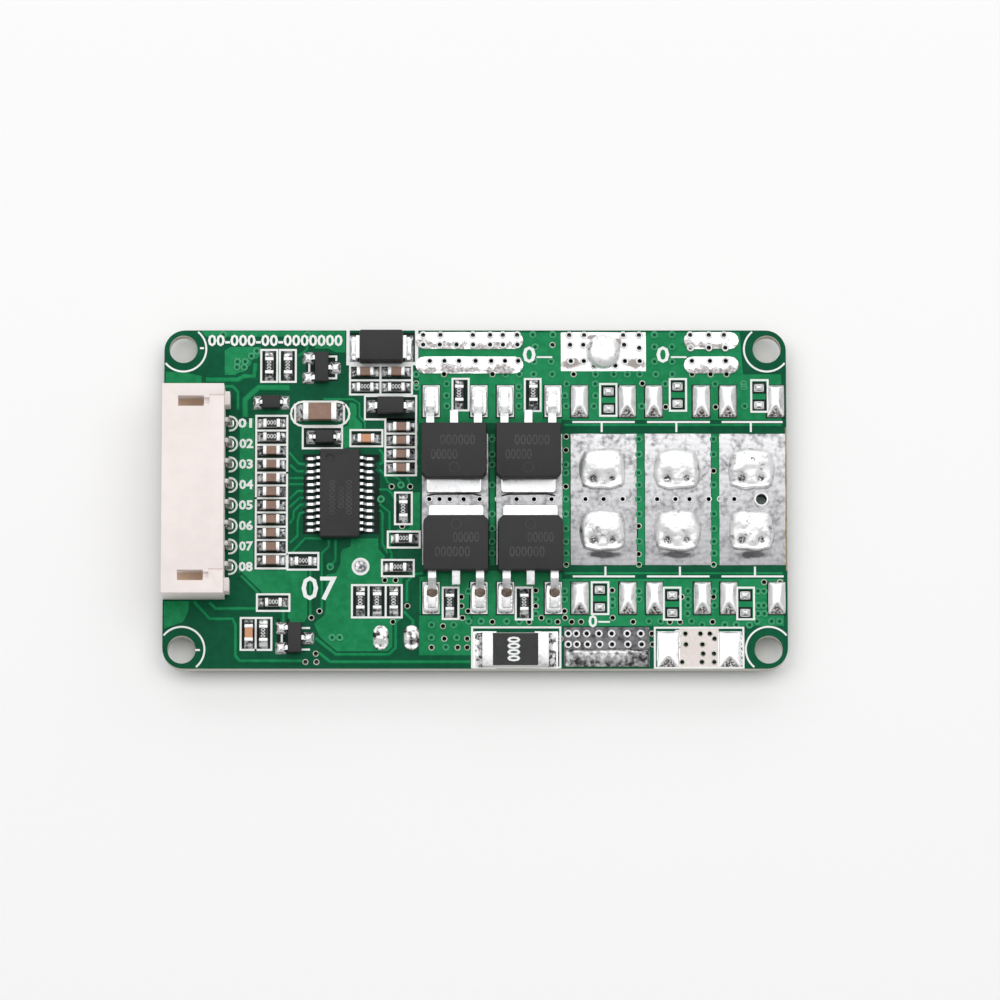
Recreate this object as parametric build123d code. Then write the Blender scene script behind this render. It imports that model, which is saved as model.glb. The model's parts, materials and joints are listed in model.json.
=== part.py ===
from build123d import *
import math
import os

# Battery management board for a pack of seven cells in series.
# One rigid circuit board carries a plug connector on its left edge, a cell monitor chip with its filter
# parts, and a power side of five transistor columns, of which two have their transistors fitted.
# Millimetres. +X runs from the plug connector to the empty transistor places, +Z is the component side.
# The origin is the middle of the four mounting holes, on the underside of the board.

# Bare board
board_thickness = 1.6
corner_radius = 2.0
mounting_hole_diameter = 2.7
mounting_hole_inset = 1.85
land_thickness = 0.05
edge_gap = 0.2

# Power side, column by column
column_count = 5
fitted_columns = 2
column_pitch = 7.15
drain_land_width = 6.35
drain_land_length = 12.8
drain_edge_margin = 0.15
drain_hole_diameter = 1.05
drain_hole_shift = 0.85
source_land_width = 1.63
source_land_length = 3.1
land_gap = 1.65
strip_width = 1.65
strip_row_gap = 0.75
chip_row_gap = 1.15
lower_zone = 5.3
long_strip_length = 10.4
long_strip_shift = -2.2
short_strip_length = 5.3
short_strip_shift = -0.3

# Control side, from the plug connector inwards
label_gap = 4.0
monitor_gap = 6.6
service_gap = 5.9
control_margin = 1.6
control_offset = 0.3
chip_row_pitch = 1.34
filter_top = 7.06
filter_chips = 11
filter_resistors = 2
service_top = 6.7
service_chips = 4

# Plug connector
connector_ways = 8
connector_pitch = 2.0
connector_end = 3.15
connector_depth = 5.95
connector_height = 4.5
connector_wall = 0.85
connector_roof = 0.75
connector_rear_wall = 1.1
connector_offset = 0.35
mouth_chamfer = 0.3
window_length = 2.45
window_width = 1.0
window_notch = 0.55
window_setback = 1.55
window_inset = 0.35
notch_share = 0.6
corner_post_depth = 0.5
corner_post_width = 1.3
corner_post_inset = 1.1
corner_post_height = 2.6
groove_width = 0.25
groove_depth = 0.15
pin_size = 0.5
pin_height = 2.1
pin_bend_radius = 0.4
pin_drop = 0.45
pin_tail = 0.95
pin_recess = 0.9
solder_cone_diameter = 1.5
solder_cone_height = 0.65
solder_cap_height = 0.25

# Power transistors
fet_length = 5.4
fet_width = 6.3
fet_height = 2.3
fet_chamfer = 0.6
fet_draft = 5
fet_tab_width = 5.3
fet_tab_reach = 1.2
fet_tab_cover = 4.3
fet_tab_chamfer = 0.2
fet_metal = 0.5
fet_lead_width = 0.8
fet_lead_spread = 4.6
fet_lead_height = 0.95
fet_lead_reach = 3.4
fet_lead_shoulder = 0.75
fet_lead_foot = 1.7
fet_lead_anchor = 0.9
fet_bend_radius = 0.4
fet_stub_reach = 1.3
fet_middle_gap = 0.6
fet_shift = 0.1

# Cell monitor chip
monitor_length = 8.65
monitor_width = 3.9
monitor_height = 1.5
monitor_pitch = 0.635
monitor_side_leads = 12
monitor_span = 6.2
monitor_lead_width = 0.26
monitor_lead_thickness = 0.2
monitor_foot = 0.6
monitor_shift = 0.1
pin_mark_diameter = 0.8
pin_mark_depth = 0.1
pin_mark_inset = 1.0

# Chip capacitors and chip resistors
chip_length = 1.6
chip_width = 0.8
chip_height = 0.75
chip_cap = 0.32
cap_skin = 0.03
resistor_height = 0.45
resistor_coating = 0.05
bulk_length = 3.2
bulk_width = 1.6
bulk_height = 1.2
bulk_cap = 0.5

# Current shunt
shunt_length = 6.4
shunt_width = 3.2
shunt_height = 0.7
shunt_cap = 1.05
shunt_skin = 0.08
shunt_coating = 0.1
shunt_bare_strip = 0.05
shunt_shift = -1.35
empty_shunt_shift = 1.95
shunt_land_reach = 0.85
shunt_land_length = 2.2
shunt_land_border = 0.2
power_land_width = 8.2
power_land_length = 3.8
lower_power_land_shift = 0.25

# Diodes and three-lead transistors
surge_length = 4.25
surge_width = 3.2
surge_height = 2.2
surge_span = 5.6
surge_lead_width = 2.2
surge_metal = 0.2
rectifier_length = 2.6
rectifier_width = 1.7
rectifier_height = 1.1
rectifier_span = 3.8
rectifier_lead_width = 0.6
small_diode_length = 1.75
small_diode_width = 1.3
small_diode_height = 0.95
small_diode_span = 2.6
small_diode_lead_width = 0.35
transistor_length = 2.95
transistor_width = 1.35
transistor_height = 1.0
transistor_span = 2.5
transistor_lead_width = 0.42
transistor_lead_spread = 1.95
small_metal = 0.13
mould_draft = 7
mould_standoff = 0.08
lead_anchor = 0.3
lead_slope_share = 0.45
lead_foot_share = 0.28

# Solder on the power side
mound_width = 4.4
mound_length = 4.2
mound_height = 1.15
mound_spacing = 6.0
mound_shift = -0.1
mound_levels = ((0, 1.0), (0.4, 0.93), (0.8, 0.7), (1.0, 0.35))
lead_mound_width = 3.4
heap_sides = 12
heap_squareness = 0.7
joint_width = 1.6
joint_length = 2.55
joint_height = 0.45
joint_levels = ((0, 1.0), (0.7, 0.8), (1.0, 0.4))
joint_spacing = 2.95
joint_shift = 1.0
joint_margin = 3.0
test_land_diameter = 1.3
test_land_shift = 2.0
test_land_drop = 6.9
empty_land_width = 0.95
empty_land_length = 0.75
empty_land_spacing = 1.7

# Board size, and the datum lines that every part is placed from
control_zone = connector_depth + pin_drop + label_gap + monitor_gap + service_gap + control_margin
power_zone = (column_count - 0.5) * column_pitch + drain_land_width / 2 + drain_edge_margin
board_length = control_zone + power_zone
upper_zone = edge_gap + 2 * strip_width + strip_row_gap + chip_row_gap
board_width = upper_zone + 2 * (source_land_length + land_gap) + drain_land_length + lower_zone

left_edge = -board_length / 2
top_edge = board_width / 2
bottom_edge = -board_width / 2
board_top = board_thickness
land_top = board_top + land_thickness

connector_rear = left_edge + connector_depth
pin_row_x = connector_rear + pin_drop
filter_x = pin_row_x + label_gap
monitor_x = filter_x + monitor_gap
service_x = monitor_x + service_gap
control_end = service_x + control_margin
control_y = control_offset

upper_source_y = top_edge - upper_zone - source_land_length / 2
drain_top_y = upper_source_y - source_land_length / 2 - land_gap
drain_y = drain_top_y - drain_land_length / 2
lower_source_y = drain_y - drain_land_length / 2 - land_gap - source_land_length / 2
column_x = [control_end + (column + 0.5) * column_pitch for column in range(column_count)]
shunt_x = column_x[1] + shunt_shift
shunt_y = bottom_edge + edge_gap + shunt_width / 2
empty_shunt_x = column_x[3] + empty_shunt_shift
drain_hole_x = column_x[-1] + drain_hole_shift

# Places of the single small parts, measured from the datum lines: x, y, and turn where there is one
surge_diode_place = (service_x - 1.95, top_edge - edge_gap - surge_width / 2)
rectifier_diode_place = (service_x - 1.05, control_y + 8.75)
small_diode_places = ((filter_x - 0.05, control_y + 9.1), (monitor_x - 1.5, control_y + 5.7))
small_transistor_places = ((monitor_x - 1.8, top_edge - 3.7), (monitor_x - 4.3, bottom_edge + 2.95))
supply_capacitor_place = (monitor_x - 1.95, control_y + 8.1)
single_capacitor_places = (
    (service_x - 0.5, top_edge - 4.1, 0),
    (service_x - 3.5, top_edge - 4.1, 0),
    (service_x - 3.4, control_y + 5.55, 0),
    (filter_x - 2.1, bottom_edge + 3.4, 90),
)
single_resistor_places = (
    (filter_x - 0.25, top_edge - 3.5, 90),
    (filter_x + 1.55, top_edge - 3.5, 90),
    (service_x - 0.5, top_edge - 5.6, 0),
    (service_x - 3.5, top_edge - 5.6, 0),
    (service_x + 0.2, control_y - 1.3, 90),
    (service_x + 0.25, control_y - 4.2, 0),
    (service_x - 0.3, control_y - 7.0, 0),
    (monitor_x - 3.5, control_y - 6.4, 0),
    (filter_x + 0.25, control_y - 10.4, 0),
    (filter_x - 0.7, bottom_edge + 3.4, 90),
    (service_x - 0.7, control_y - 10.25, 90),
    (service_x - 2.3, control_y - 10.25, 90),
    (service_x - 3.9, control_y - 10.25, 90),
)

# Shifts of the parts that repeat in each column, from its middle and its upper or lower source lands
upper_gate_resistor_shift = (0.4, 0.75)
lower_gate_resistor_shift = (-0.5, -0.45)
upper_empty_chips = ((2, 0.5, 0.1), (3, 0.0, 0.6), (4, 0.7, 0.45))
lower_empty_chips = ((2, -0.4, -0.05), (3, -0.6, -0.6), (4, -0.75, -0.6))


# Shapes that several parts share

def block(length, width, height, x=0, y=0, z=0):
    """A box that stands on height z, centred on x and y."""
    return Pos(x, y, z) * Box(length, width, height, align=(Align.CENTER, Align.CENTER, Align.MIN))


def drill(diameter, x, y):
    """A cylinder that passes through the board and its lands."""
    return Pos(x, y, board_top) * Cylinder(diameter / 2, 4 * board_thickness)


def moved(shapes, x, y, z=board_top, turn=0):
    """Copies of shapes, turned about the vertical and set at a place on the board."""
    return [Pos(x, y, z) * Rot(0, 0, turn) * shape for shape in shapes]


def side_profile(points, width):
    """A solid from a side view: points are (along X, up), and the width runs along Y."""
    return extrude(Plane.XZ * make_face(Polyline(*points, close=True)), amount=width / 2, both=True)


def gull_lead(body_half, tip, seam, width, metal, foot):
    """One flat lead towards +X: out of the body at its seam, down, and along the board."""
    low, high = seam - metal / 2, seam + metal / 2
    knee = body_half + metal
    heel = tip - foot
    slope = metal * lead_slope_share
    points = [
        (body_half - lead_anchor, low),
        (knee - slope, low),
        (heel - slope, 0),
        (tip, 0),
        (tip, metal),
        (heel + slope, metal),
        (knee + slope, high),
        (body_half - lead_anchor, high),
    ]
    return side_profile(points, width)


def moulded(length, width, seam, height, standoff, draft):
    """A moulded body with draft above and below its seam line."""
    outline = Plane.XY.offset(seam) * Rectangle(length, width)
    return extrude(outline, height - seam, taper=draft) + extrude(outline, standoff - seam, taper=draft)


def leaded(length, width, height, leads):
    """A moulded body closed round its leads, and the leads."""
    body = moulded(length, width, height / 2, height, mould_standoff, mould_draft)
    for lead in leads:
        body -= lead
    return body, leads


def two_leads(length, height, span, width, metal):
    """The pair of leads of a diode, out at both ends."""
    foot = (span - length) * lead_foot_share
    lead = gull_lead(length / 2, span / 2, height / 2, width, metal, foot)
    return [lead, Rot(0, 0, 180) * lead]


def capacitor(length, width, height, cap):
    """A ceramic chip capacitor: the body, and two end caps that are closed on five sides."""
    body = block(length - 2 * cap_skin, width - 2 * cap_skin, height - 2 * cap_skin, z=cap_skin)
    caps = [block(cap, width, height, x=side * (length - cap) / 2) - body for side in (-1, 1)]
    return [body], caps


def resistor(length, width, height, cap, skin, coating, coating_width):
    """A chip resistor: the ceramic body, the dark coating on top, and end caps on three sides."""
    body = block(length - 2 * skin, width, height - 2 * skin, z=skin)
    cover = block(length - 2 * cap, coating_width, coating, z=height - skin)
    caps = [block(cap, width, height, x=side * (length - cap) / 2) - body for side in (-1, 1)]
    return [body], [cover], caps


# Board and lands

def circuit_board(pins):
    board = extrude(RectangleRounded(board_length, board_width, corner_radius), board_thickness)
    hole_x = board_length / 2 - mounting_hole_inset
    hole_y = board_width / 2 - mounting_hole_inset
    for x in (-hole_x, hole_x):
        for y in (-hole_y, hole_y):
            board -= drill(mounting_hole_diameter, x, y)
    for pin in pins:
        board -= pin
    board -= drill(drain_hole_diameter, drain_hole_x, drain_y)
    return [board]


def land(length, width, x, y):
    """A flat tinned copper land on the component side."""
    return block(length, width, land_thickness, x, y, board_top)


def drain_lands():
    lands = [land(drain_land_width, drain_land_length, x, drain_y) for x in column_x]
    lands[-1] -= drill(drain_hole_diameter, drain_hole_x, drain_y)
    return lands


def source_gate_lands():
    lands = []
    for x in column_x:
        for side in (-fet_lead_spread / 2, fet_lead_spread / 2):
            for y in (upper_source_y, lower_source_y):
                lands.append(land(source_land_width, source_land_length, x + side, y))
    return lands


def solder_strips():
    strips = []
    long_x = (column_x[0] + column_x[1]) / 2 + long_strip_shift
    short_x = (column_x[3] + column_x[4]) / 2 + short_strip_shift
    outer_y = top_edge - edge_gap - strip_width / 2
    for y in (outer_y, outer_y - strip_width - strip_row_gap):
        for length, x in ((long_strip_length, long_x), (short_strip_length, short_x)):
            strips.append(Pos(x, y, board_top) * extrude(SlotOverall(length, strip_width), land_thickness))
    return strips


def shunt_lands(x):
    """Two lands that reach past the ends of a shunt at x."""
    offset = shunt_length / 2 + shunt_land_reach - shunt_land_length / 2
    width = shunt_width + 2 * shunt_land_border
    return [land(shunt_land_length, width, x + side * offset, shunt_y) for side in (-1, 1)]


def power_lands():
    upper_y = top_edge - edge_gap - power_land_length / 2
    lower_y = bottom_edge + edge_gap + power_land_length / 2
    lands = shunt_lands(shunt_x) + shunt_lands(empty_shunt_x)
    lands.append(land(power_land_width, power_land_length, column_x[2], upper_y))
    lands.append(land(power_land_width, power_land_length, column_x[2] + lower_power_land_shift, lower_y))
    return lands


def empty_chip_lands():
    """Land pairs of six chips that are not fitted, and the round test land."""
    lands = []
    for row_y, places in ((upper_source_y, upper_empty_chips), (lower_source_y, lower_empty_chips)):
        for column, shift_x, shift_y in places:
            for side in (-empty_land_spacing / 2, empty_land_spacing / 2):
                x = column_x[column] + shift_x
                lands.append(land(empty_land_width, empty_land_length, x, row_y + shift_y + side))
    test_land = extrude(Circle(test_land_diameter / 2), land_thickness)
    lands += moved([test_land], monitor_x + test_land_shift, control_y - test_land_drop)
    return lands


# Solder

def heap_ring(width, length, height):
    """The corners of one level of a heap: an outline between a circle and a square."""
    corners = []
    for side in range(heap_sides):
        angle = 2 * math.pi * (side + 0.5) / heap_sides
        across = math.copysign(abs(math.cos(angle)) ** heap_squareness, math.cos(angle))
        along = math.copysign(abs(math.sin(angle)) ** heap_squareness, math.sin(angle))
        corners.append((across * width / 2, along * length / 2, height))
    return corners


def heap(width, length, height, levels):
    """A heap of solder with flat facets, drawn in step by step as it rises."""
    rings = [heap_ring(width * share, length * share, height * rise) for rise, share in levels]
    outlines = [rings[0], rings[-1]]
    for lower, upper in zip(rings, rings[1:]):
        for side in range(heap_sides):
            after = (side + 1) % heap_sides
            outlines.append((lower[side], lower[after], upper[after], upper[side]))
    faces = [make_face(Polyline(*outline, close=True)).face() for outline in outlines]
    return Solid(Shell(faces))


def solder_mounds():
    mounds = []
    mound = heap(mound_width, mound_length, mound_height, mound_levels)
    for x in column_x[fitted_columns:]:
        for side in (-mound_spacing / 2, mound_spacing / 2):
            mounds += moved([mound], x + mound_shift, drain_y + side, land_top)
    lead_mound = heap(lead_mound_width, lead_mound_width, mound_height, mound_levels)
    mounds += moved([lead_mound], column_x[2], top_edge - edge_gap - power_land_length / 2, land_top)
    return mounds


def wire_joints():
    """Two oval soldered joints near the lower edge of the control side."""
    joint = heap(joint_width, joint_length, joint_height, joint_levels)
    joints = []
    for place in range(2):
        joints += moved([joint], service_x + joint_shift - place * joint_spacing, bottom_edge + joint_margin)
    return joints


# Plug connector

def connector_rows():
    """The Y of each pin, from the upper end down."""
    first = connector_offset + (connector_ways - 1) * connector_pitch / 2
    return [first - way * connector_pitch for way in range(connector_ways)]


def connector_length():
    return (connector_ways - 1) * connector_pitch + 2 * connector_end


def connector_housing(pins):
    length = connector_length()
    middle_x = left_edge + connector_depth / 2
    housing = block(connector_depth, length, connector_height, middle_x, connector_offset, board_top)
    cavity_depth = connector_depth - connector_rear_wall
    cavity_width = length - 2 * connector_wall
    cavity_height = connector_height - 2 * connector_roof
    cavity_x = left_edge + cavity_depth / 2
    cavity_z = board_top + connector_roof
    housing -= block(cavity_depth, cavity_width, cavity_height, cavity_x, connector_offset, cavity_z)
    mouth_edges = housing.edges().filter_by_position(Axis.X, left_edge, left_edge)
    inner_edges = [edge for edge in mouth_edges if is_inside_mouth(edge, length)]
    housing = chamfer(inner_edges, mouth_chamfer)
    post_x = connector_rear + corner_post_depth / 2
    for side in (-1, 1):
        window_y = connector_offset + side * (length / 2 - connector_wall - window_width / 2 - window_inset)
        window_x = left_edge + window_setback + window_length / 2
        notch_x = window_x + (window_length + window_notch) / 2
        groove_start = notch_x + window_notch / 2
        groove_length = connector_rear - groove_start
        post_y = connector_offset + side * (length / 2 - corner_post_inset)
        roof_z = board_top + connector_height
        housing -= block(window_length, window_width, 2 * connector_roof, window_x, window_y,
                         roof_z - 1.5 * connector_roof)
        housing -= block(window_notch, window_width * notch_share, connector_roof, notch_x, window_y,
                         roof_z - connector_roof * notch_share)
        housing -= block(groove_length, groove_width, 2 * groove_depth, groove_start + groove_length / 2,
                         window_y + window_width / 2, roof_z - groove_depth)
        housing += block(corner_post_depth, corner_post_width, corner_post_height, post_x, post_y, board_top)
    for pin in pins:
        housing -= pin
    return [housing]


def is_inside_mouth(edge, length):
    """Whether an edge of the front face borders the cavity, and not the outside."""
    centre = edge.center()
    across = abs(centre.Y - connector_offset) < length / 2 - connector_wall / 2
    up = abs(centre.Z - board_top - connector_height / 2) < connector_height / 2 - connector_roof / 2
    return across and up


def connector_pin():
    """A square pin: straight in the plug, bent down behind the housing, and through the board."""
    front = (left_edge + pin_recess, 0, board_top + pin_height)
    corner = (pin_row_x, 0, board_top + pin_height)
    tail = (pin_row_x, 0, -pin_tail)
    path = FilletPolyline(front, corner, tail, radius=pin_bend_radius)
    return sweep(Plane(origin=front, z_dir=(1, 0, 0)) * Rectangle(pin_size, pin_size), path)


def connector_pins():
    pin = connector_pin()
    return [Pos(0, y, 0) * pin for y in connector_rows()]


def connector_solder(pins):
    """The soldered joint of each pin: a cone under the board and a low collar on top of it."""
    cone = heap(solder_cone_diameter, solder_cone_diameter, -solder_cone_height, ((0, 1), (1, 0.55)))
    collar = heap(2 * pin_drop, 2 * pin_drop, solder_cap_height, ((0, 1), (1, 0.8)))
    joints = []
    for y, pin in zip(connector_rows(), pins):
        joints.append(Pos(pin_row_x, y, 0) * cone - pin)
        joints.append(Pos(pin_row_x, y, board_top) * collar - pin)
    return joints


# Power transistors, with their leads towards +Y

def fet_tab():
    """The drain plate that the body stands on, with the cropped middle lead in one piece."""
    plate_length = fet_tab_reach + fet_tab_cover
    plate = block(fet_tab_width, plate_length, fet_metal, y=plate_length / 2)
    corners = plate.edges().filter_by(Axis.Z).group_by(Axis.Y)[0]
    plate = chamfer(corners, fet_tab_chamfer)
    low = fet_lead_height
    high = low + fet_metal
    root = plate_length - 2 * fet_metal
    end = fet_tab_reach + fet_length + fet_stub_reach
    points = [
        (root, 0),
        (plate_length, 0),
        (plate_length, low - fet_metal / 2),
        (plate_length + fet_metal / 2, low),
        (end, low),
        (end, high),
        (root + fet_metal, high),
        (root, high - fet_metal),
    ]
    stub = extrude(Plane.YZ * make_face(Polyline(*points, close=True)), fet_lead_width / 2, both=True)
    return plate + stub


def fet_lead(x):
    """An outer lead: a shoulder beside the body, a round bend, a slope and a flat foot."""
    start = fet_tab_reach + fet_length - fet_lead_anchor
    shoulder = fet_tab_reach + fet_length + fet_lead_shoulder
    tip = fet_tab_reach + fet_length + fet_lead_reach
    heel = tip - fet_lead_foot
    middle = fet_metal / 2
    upper = fet_lead_height + middle
    path = FilletPolyline((x, start, upper), (x, shoulder, upper), (x, heel, middle), (x, tip, middle),
                          radius=fet_bend_radius)
    cut_end = Plane(origin=(x, start, upper), x_dir=(1, 0, 0), z_dir=(0, 1, 0))
    return sweep(cut_end * Rectangle(fet_lead_width, fet_metal), path)


def fet_body(metal):
    """The moulded body, chamfered at the tab end, closed round its metal."""
    body = moulded(fet_width, fet_length, fet_lead_height + fet_metal / 2, fet_height, 0, fet_draft)
    body = Pos(0, fet_tab_reach + fet_length / 2, 0) * body
    trim = Plane.XY * make_face(Polyline(
        (fet_width / 2 + fet_metal, fet_tab_reach - fet_metal),
        (fet_width / 2 - fet_chamfer - fet_metal, fet_tab_reach - fet_metal),
        (fet_width / 2 + fet_metal, fet_tab_reach + fet_chamfer + fet_metal),
        close=True,
    ))
    corner = extrude(trim, fet_height)
    body -= corner
    body -= mirror(corner, Plane.YZ)
    for piece in metal:
        body -= piece
    return body


def power_transistors(nodes):
    metal = [fet_tab()]
    leads = [fet_lead(-fet_lead_spread / 2), fet_lead(fet_lead_spread / 2)]
    body = fet_body(metal + leads)
    number = 0
    for turn, direction in ((0, 1), (180, -1)):
        for x in column_x[:fitted_columns]:
            number += 1
            place = (x - direction * fet_shift, drain_y + direction * fet_middle_gap, land_top, turn)
            nodes[f"power_transistor_{number}_body"] = moved([body], *place)
            nodes[f"power_transistor_{number}_drain_tab"] = moved(metal, *place)
            nodes[f"power_transistor_{number}_leads"] = moved(leads, *place)


# Cell monitor chip

def cell_monitor(nodes):
    lead = gull_lead(monitor_width / 2, monitor_span / 2, monitor_height / 2, monitor_lead_width,
                     monitor_lead_thickness, monitor_foot)
    leads = []
    for turn in (0, 180):
        for place in range(monitor_side_leads):
            y = (place - (monitor_side_leads - 1) / 2) * monitor_pitch
            leads.append(Rot(0, 0, turn) * Pos(0, y, 0) * lead)
    body, leads = leaded(monitor_width, monitor_length, monitor_height, leads)
    mark_x = -monitor_width / 2 + pin_mark_inset
    mark_y = monitor_length / 2 - pin_mark_inset
    body -= Pos(mark_x, mark_y, monitor_height) * Cylinder(pin_mark_diameter / 2, 2 * pin_mark_depth)
    place = (monitor_x, control_y + monitor_shift)
    nodes["monitor_chip_body"] = moved([body], *place)
    nodes["monitor_chip_leads"] = moved(leads, *place)


# Diodes and small transistors

def diodes(nodes):
    surge_leads = two_leads(surge_length, surge_height, surge_span, surge_lead_width, surge_metal)
    body, leads = leaded(surge_length, surge_width, surge_height, surge_leads)
    nodes["surge_diode_body"] = moved([body], *surge_diode_place)
    nodes["surge_diode_leads"] = moved(leads, *surge_diode_place)
    rectifier_leads = two_leads(rectifier_length, rectifier_height, rectifier_span, rectifier_lead_width,
                                small_metal)
    body, leads = leaded(rectifier_length, rectifier_width, rectifier_height, rectifier_leads)
    nodes["rectifier_diode_body"] = moved([body], *rectifier_diode_place)
    nodes["rectifier_diode_leads"] = moved(leads, *rectifier_diode_place)
    small_leads = two_leads(small_diode_length, small_diode_height, small_diode_span, small_diode_lead_width,
                            small_metal)
    body, leads = leaded(small_diode_length, small_diode_width, small_diode_height, small_leads)
    nodes["small_diode_bodies"] = [solid for place in small_diode_places for solid in moved([body], *place)]
    nodes["small_diode_leads"] = [solid for place in small_diode_places for solid in moved(leads, *place)]


def small_transistors(nodes):
    foot = (transistor_span - transistor_width) * lead_foot_share
    lead = gull_lead(transistor_width / 2, transistor_span / 2, transistor_height / 2, transistor_lead_width,
                     small_metal, foot)
    leads = [lead]
    for side in (-transistor_lead_spread / 2, transistor_lead_spread / 2):
        leads.append(Pos(0, side, 0) * Rot(0, 0, 180) * lead)
    body, leads = leaded(transistor_width, transistor_length, transistor_height, leads)
    for number, place in enumerate(small_transistor_places, 1):
        nodes[f"small_transistor_{number}_body"] = moved([body], *place)
        nodes[f"small_transistor_{number}_leads"] = moved(leads, *place)


# Chip capacitors and resistors

def column_places(x, top, first, last):
    """Places of the chips of a column that runs down from top, from number first to before last."""
    return [(x, control_y + top - number * chip_row_pitch, 0) for number in range(first, last)]


def chip_places():
    """Place and turn of every small chip, in four lists."""
    filter_capacitor_places = column_places(filter_x, filter_top, filter_resistors, filter_chips)
    capacitor_places = column_places(service_x, service_top, 0, service_chips) + list(single_capacitor_places)
    resistor_places = column_places(filter_x, filter_top, 0, filter_resistors) + list(single_resistor_places)
    upper_x, upper_y = upper_gate_resistor_shift
    lower_x, lower_y = lower_gate_resistor_shift
    gate_places = []
    for x in column_x[:fitted_columns]:
        gate_places.append((x + upper_x, upper_source_y + upper_y, 90))
        gate_places.append((x + lower_x, lower_source_y + lower_y, 90))
    return filter_capacitor_places, capacitor_places, resistor_places, gate_places


def chips(nodes):
    filter_places, service_places, resistor_places, gate_places = chip_places()
    body, caps = capacitor(chip_length, chip_width, chip_height, chip_cap)
    for name, places in (("filter_capacitor", filter_places), ("service_capacitor", service_places)):
        nodes[name + "_bodies"] = spread(body, places)
        nodes[name + "_end_caps"] = spread(caps, places)
    body, cover, caps = resistor(chip_length, chip_width, resistor_height, chip_cap, cap_skin,
                                 resistor_coating, chip_width)
    for name, places in (("chip_resistor", resistor_places), ("gate_resistor", gate_places)):
        nodes[name + "_bodies"] = spread(body, places)
        nodes[name + "_coatings"] = spread(cover, places)
        nodes[name + "_end_caps"] = spread(caps, places)
    body, caps = capacitor(bulk_length, bulk_width, bulk_height, bulk_cap)
    nodes["supply_capacitor_body"] = moved(body, *supply_capacitor_place)
    nodes["supply_capacitor_end_caps"] = moved(caps, *supply_capacitor_place)


def spread(solids, places):
    """The solids of one chip, set at every place of a list."""
    return [copy for x, y, turn in places for copy in moved(solids, x, y, board_top, turn)]


def current_shunt(nodes):
    coating_width = shunt_width - 2 * shunt_bare_strip
    body, cover, caps = resistor(shunt_length, shunt_width, shunt_height, shunt_cap, shunt_skin,
                                 shunt_coating, coating_width)
    place = (shunt_x, shunt_y, land_top)
    nodes["current_shunt_body"] = moved(body, *place)
    nodes["current_shunt_coating"] = moved(cover, *place)
    nodes["current_shunt_end_caps"] = moved(caps, *place)


# Everything, by name

def all_nodes():
    pins = connector_pins()
    nodes = {
        "circuit_board": circuit_board(pins),
        "drain_lands": drain_lands(),
        "source_gate_lands": source_gate_lands(),
        "solder_strips": solder_strips(),
        "power_lands": power_lands(),
        "empty_chip_lands": empty_chip_lands(),
        "solder_mounds": solder_mounds(),
        "wire_joints": wire_joints(),
        "connector_housing": connector_housing(pins),
        "connector_pins": pins,
        "connector_solder": connector_solder(pins),
    }
    power_transistors(nodes)
    cell_monitor(nodes)
    diodes(nodes)
    small_transistors(nodes)
    chips(nodes)
    current_shunt(nodes)
    return nodes


os.makedirs("parts", exist_ok=True)
for name, solids in all_nodes().items():
    shape = solids[0] if len(solids) == 1 else Compound(children=solids)
    export_step(shape, f"parts/{name}.step")
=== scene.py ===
import json
import math
import random

import bmesh
import bpy
from mathutils import Matrix, Vector, noise


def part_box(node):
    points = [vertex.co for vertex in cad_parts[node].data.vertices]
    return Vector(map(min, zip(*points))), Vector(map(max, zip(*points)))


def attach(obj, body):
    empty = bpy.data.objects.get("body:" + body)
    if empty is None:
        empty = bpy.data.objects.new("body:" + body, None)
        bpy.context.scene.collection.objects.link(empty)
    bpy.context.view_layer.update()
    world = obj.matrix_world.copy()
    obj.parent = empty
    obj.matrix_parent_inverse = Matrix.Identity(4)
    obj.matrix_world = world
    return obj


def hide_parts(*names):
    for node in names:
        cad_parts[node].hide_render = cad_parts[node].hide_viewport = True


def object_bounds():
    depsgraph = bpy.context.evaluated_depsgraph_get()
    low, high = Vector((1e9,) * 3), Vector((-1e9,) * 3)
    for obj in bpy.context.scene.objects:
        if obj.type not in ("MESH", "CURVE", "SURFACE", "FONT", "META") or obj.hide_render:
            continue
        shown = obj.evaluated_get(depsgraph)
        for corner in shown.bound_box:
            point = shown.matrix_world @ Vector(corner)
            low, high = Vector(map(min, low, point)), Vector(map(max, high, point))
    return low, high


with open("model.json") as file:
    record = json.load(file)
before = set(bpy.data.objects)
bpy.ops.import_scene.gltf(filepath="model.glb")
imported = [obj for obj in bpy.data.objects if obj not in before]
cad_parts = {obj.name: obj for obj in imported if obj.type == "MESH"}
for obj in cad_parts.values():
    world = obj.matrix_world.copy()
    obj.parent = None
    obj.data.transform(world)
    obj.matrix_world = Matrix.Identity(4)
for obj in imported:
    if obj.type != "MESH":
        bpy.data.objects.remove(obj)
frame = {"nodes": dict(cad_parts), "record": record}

cad_low, cad_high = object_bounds()
nodes = frame["nodes"]
MM = 0.001

# The board's faces and edges, and the tops of its lands, from the frame
board_low, board_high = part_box("circuit_board")
BOARD_TOP = board_high.z
BOARD_HALF_X = board_high.x
BOARD_HALF_Y = board_high.y
LAND_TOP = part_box("drain_lands")[1].z
STRIP_TOP = LAND_TOP + 0.12 * MM
CORNER_RADIUS = 2.0 * MM
MERGE_REACH = 0.0005 * MM
POWER_TRANSISTORS = (1, 2, 3, 4)

# Small prints were read on a grid laid over the photograph, in millimetres from the board's middle.
# These four values set that grid on the board.
GRID_SCALE_X = 0.9967
GRID_SCALE_Y = 0.994
GRID_SHIFT_X = -0.06
GRID_SHIFT_Y = 0.155


def on_board(x, y):
    """A place read on the photograph's grid, as metres on the board."""
    return (x * GRID_SCALE_X + GRID_SHIFT_X) * MM, (y * GRID_SCALE_Y + GRID_SHIFT_Y) * MM


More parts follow.
